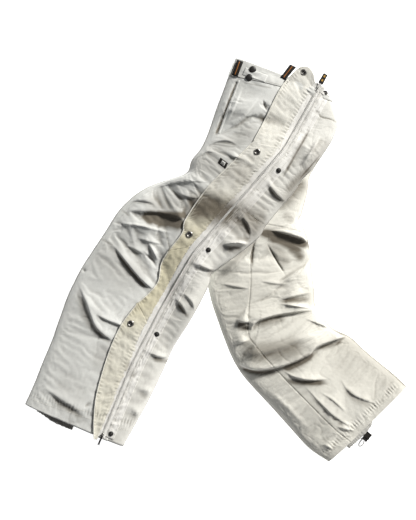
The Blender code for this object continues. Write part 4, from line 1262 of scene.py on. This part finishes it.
def build_seams(mats, left_top, right_upper):
    """The stitches beside every seam and round both hems."""
    u = np.linspace(0.01, 0.99, 60)
    rows = [(seam, offset) for seam in LEFT_SEAMS for offset in (0.0014, -0.0014)]
    rows += [(leg_plan(LEFT, np.full(60, 12 - back), u), 0.0) for back in (0.16, 0.24)]
    fixed(stitch_rows("left_seam_stitches", rows, left_top, mats["thread"]), LEFT_BODY, "shell")
    rows = [(seam, offset) for seam in RIGHT_SEAMS for offset in (0.0030, -0.0030)]
    rows += [(leg_plan(RIGHT, np.full(60, 11 - back), u), 0.0) for back in (0.14, 0.22)]
    rows.append((leg_plan(RIGHT, np.linspace(9, 10.98, 60), np.full(60, 0.985)), 0.0))
    obj = stitch_rows("right_seam_stitches", rows, caster(right_upper), mats["thread"])
    return obj


def stage_and_light():
    """A plain pale floor, a warm sun from the upper right, a faint sky and the camera straight above."""
    scene = bpy.context.scene
    floor_mesh = bpy.data.meshes.new("floor")
    size = 6.0
    floor_mesh.from_pydata([(-size, -size, 0), (size, -size, 0), (size, size, 0), (-size, size, 0)], [],
                           [(0, 1, 2, 3)])
    material_, tree, shader = new_material("floor")
    feed(tree, shader.inputs, {"Base Color": (0.9, 0.9, 0.9, 1), "Roughness": 1.0,
                               "Emission Color": (1, 1, 1, 1), "Emission Strength": 0.95})
    floor = linked("floor", floor_mesh, material_)
    floor.location.z = -0.0005
    sun_data = bpy.data.lights.new("key_light", "SUN")
    sun_data.energy = 4.8
    sun_data.angle = math.radians(11)
    sun_data.color = (1.0, 0.975, 0.93)
    sun = bpy.data.objects.new("key_light", sun_data)
    scene.collection.objects.link(sun)
    toward = Vector((0.70, 0.62, 0.60)).normalized()
    sun.rotation_euler = toward.to_track_quat("Z", "Y").to_euler()
    scene.world = bpy.data.worlds.new("studio")
    scene.world.use_nodes = True
    tree = scene.world.node_tree
    feed(tree, tree.nodes["Background"].inputs, {"Color": (0.95, 0.97, 1.0, 1), "Strength": 0.14})
    camera_data = bpy.data.cameras.new("camera")
    camera_data.lens = 85.8
    camera_data.clip_end = 20
    camera = bpy.data.objects.new("camera", camera_data)
    scene.collection.objects.link(camera)
    camera.location = (-0.018, -0.001, 3.0)
    camera.rotation_euler = (0, 0, 0)
    scene.camera = camera
    scene.view_settings.view_transform = "Standard"


def main():
    mats = make_materials()
    stage_and_light()
    front, back, at_zip = build_left_leg(mats)
    right_upper, start, end = build_right_leg(mats)
    left_top = caster(front, back)
    flaps = build_flap(mats, left_top)
    flap_trim(mats, flaps)
    placket = build_zip(mats, left_top)
    on_zip = caster(placket, back, front)
    top = build_trim(mats, left_top, at_zip)
    build_studs(mats, highest(on_zip, top))
    build_slider(mats, "top", along=(-0.4813, -0.863, 0.15), length=0.027, width=0.0125, out_by=0.006,
                 reach=0.0115, link_material="tape", marks=(-0.004, 0.007))
    build_slider(mats, "bottom", along=(0.386, 0.922, 0.016), length=0.022, width=0.0045, out_by=0.001,
                 reach=0.0075, link_material="metal")
    build_gaiter("left_gaiter", LEFT, 0.13, 0.50, left_cuff_reach, mats["gaiter"], LEFT_BODY)
    build_gaiter("right_gaiter", RIGHT, 0.22, 0.72, right_cuff_reach, mats["elastic"], SHIN)
    build_hook(mats)
    stitches = build_seams(mats, left_top, right_upper)
    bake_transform(stitches)


main()
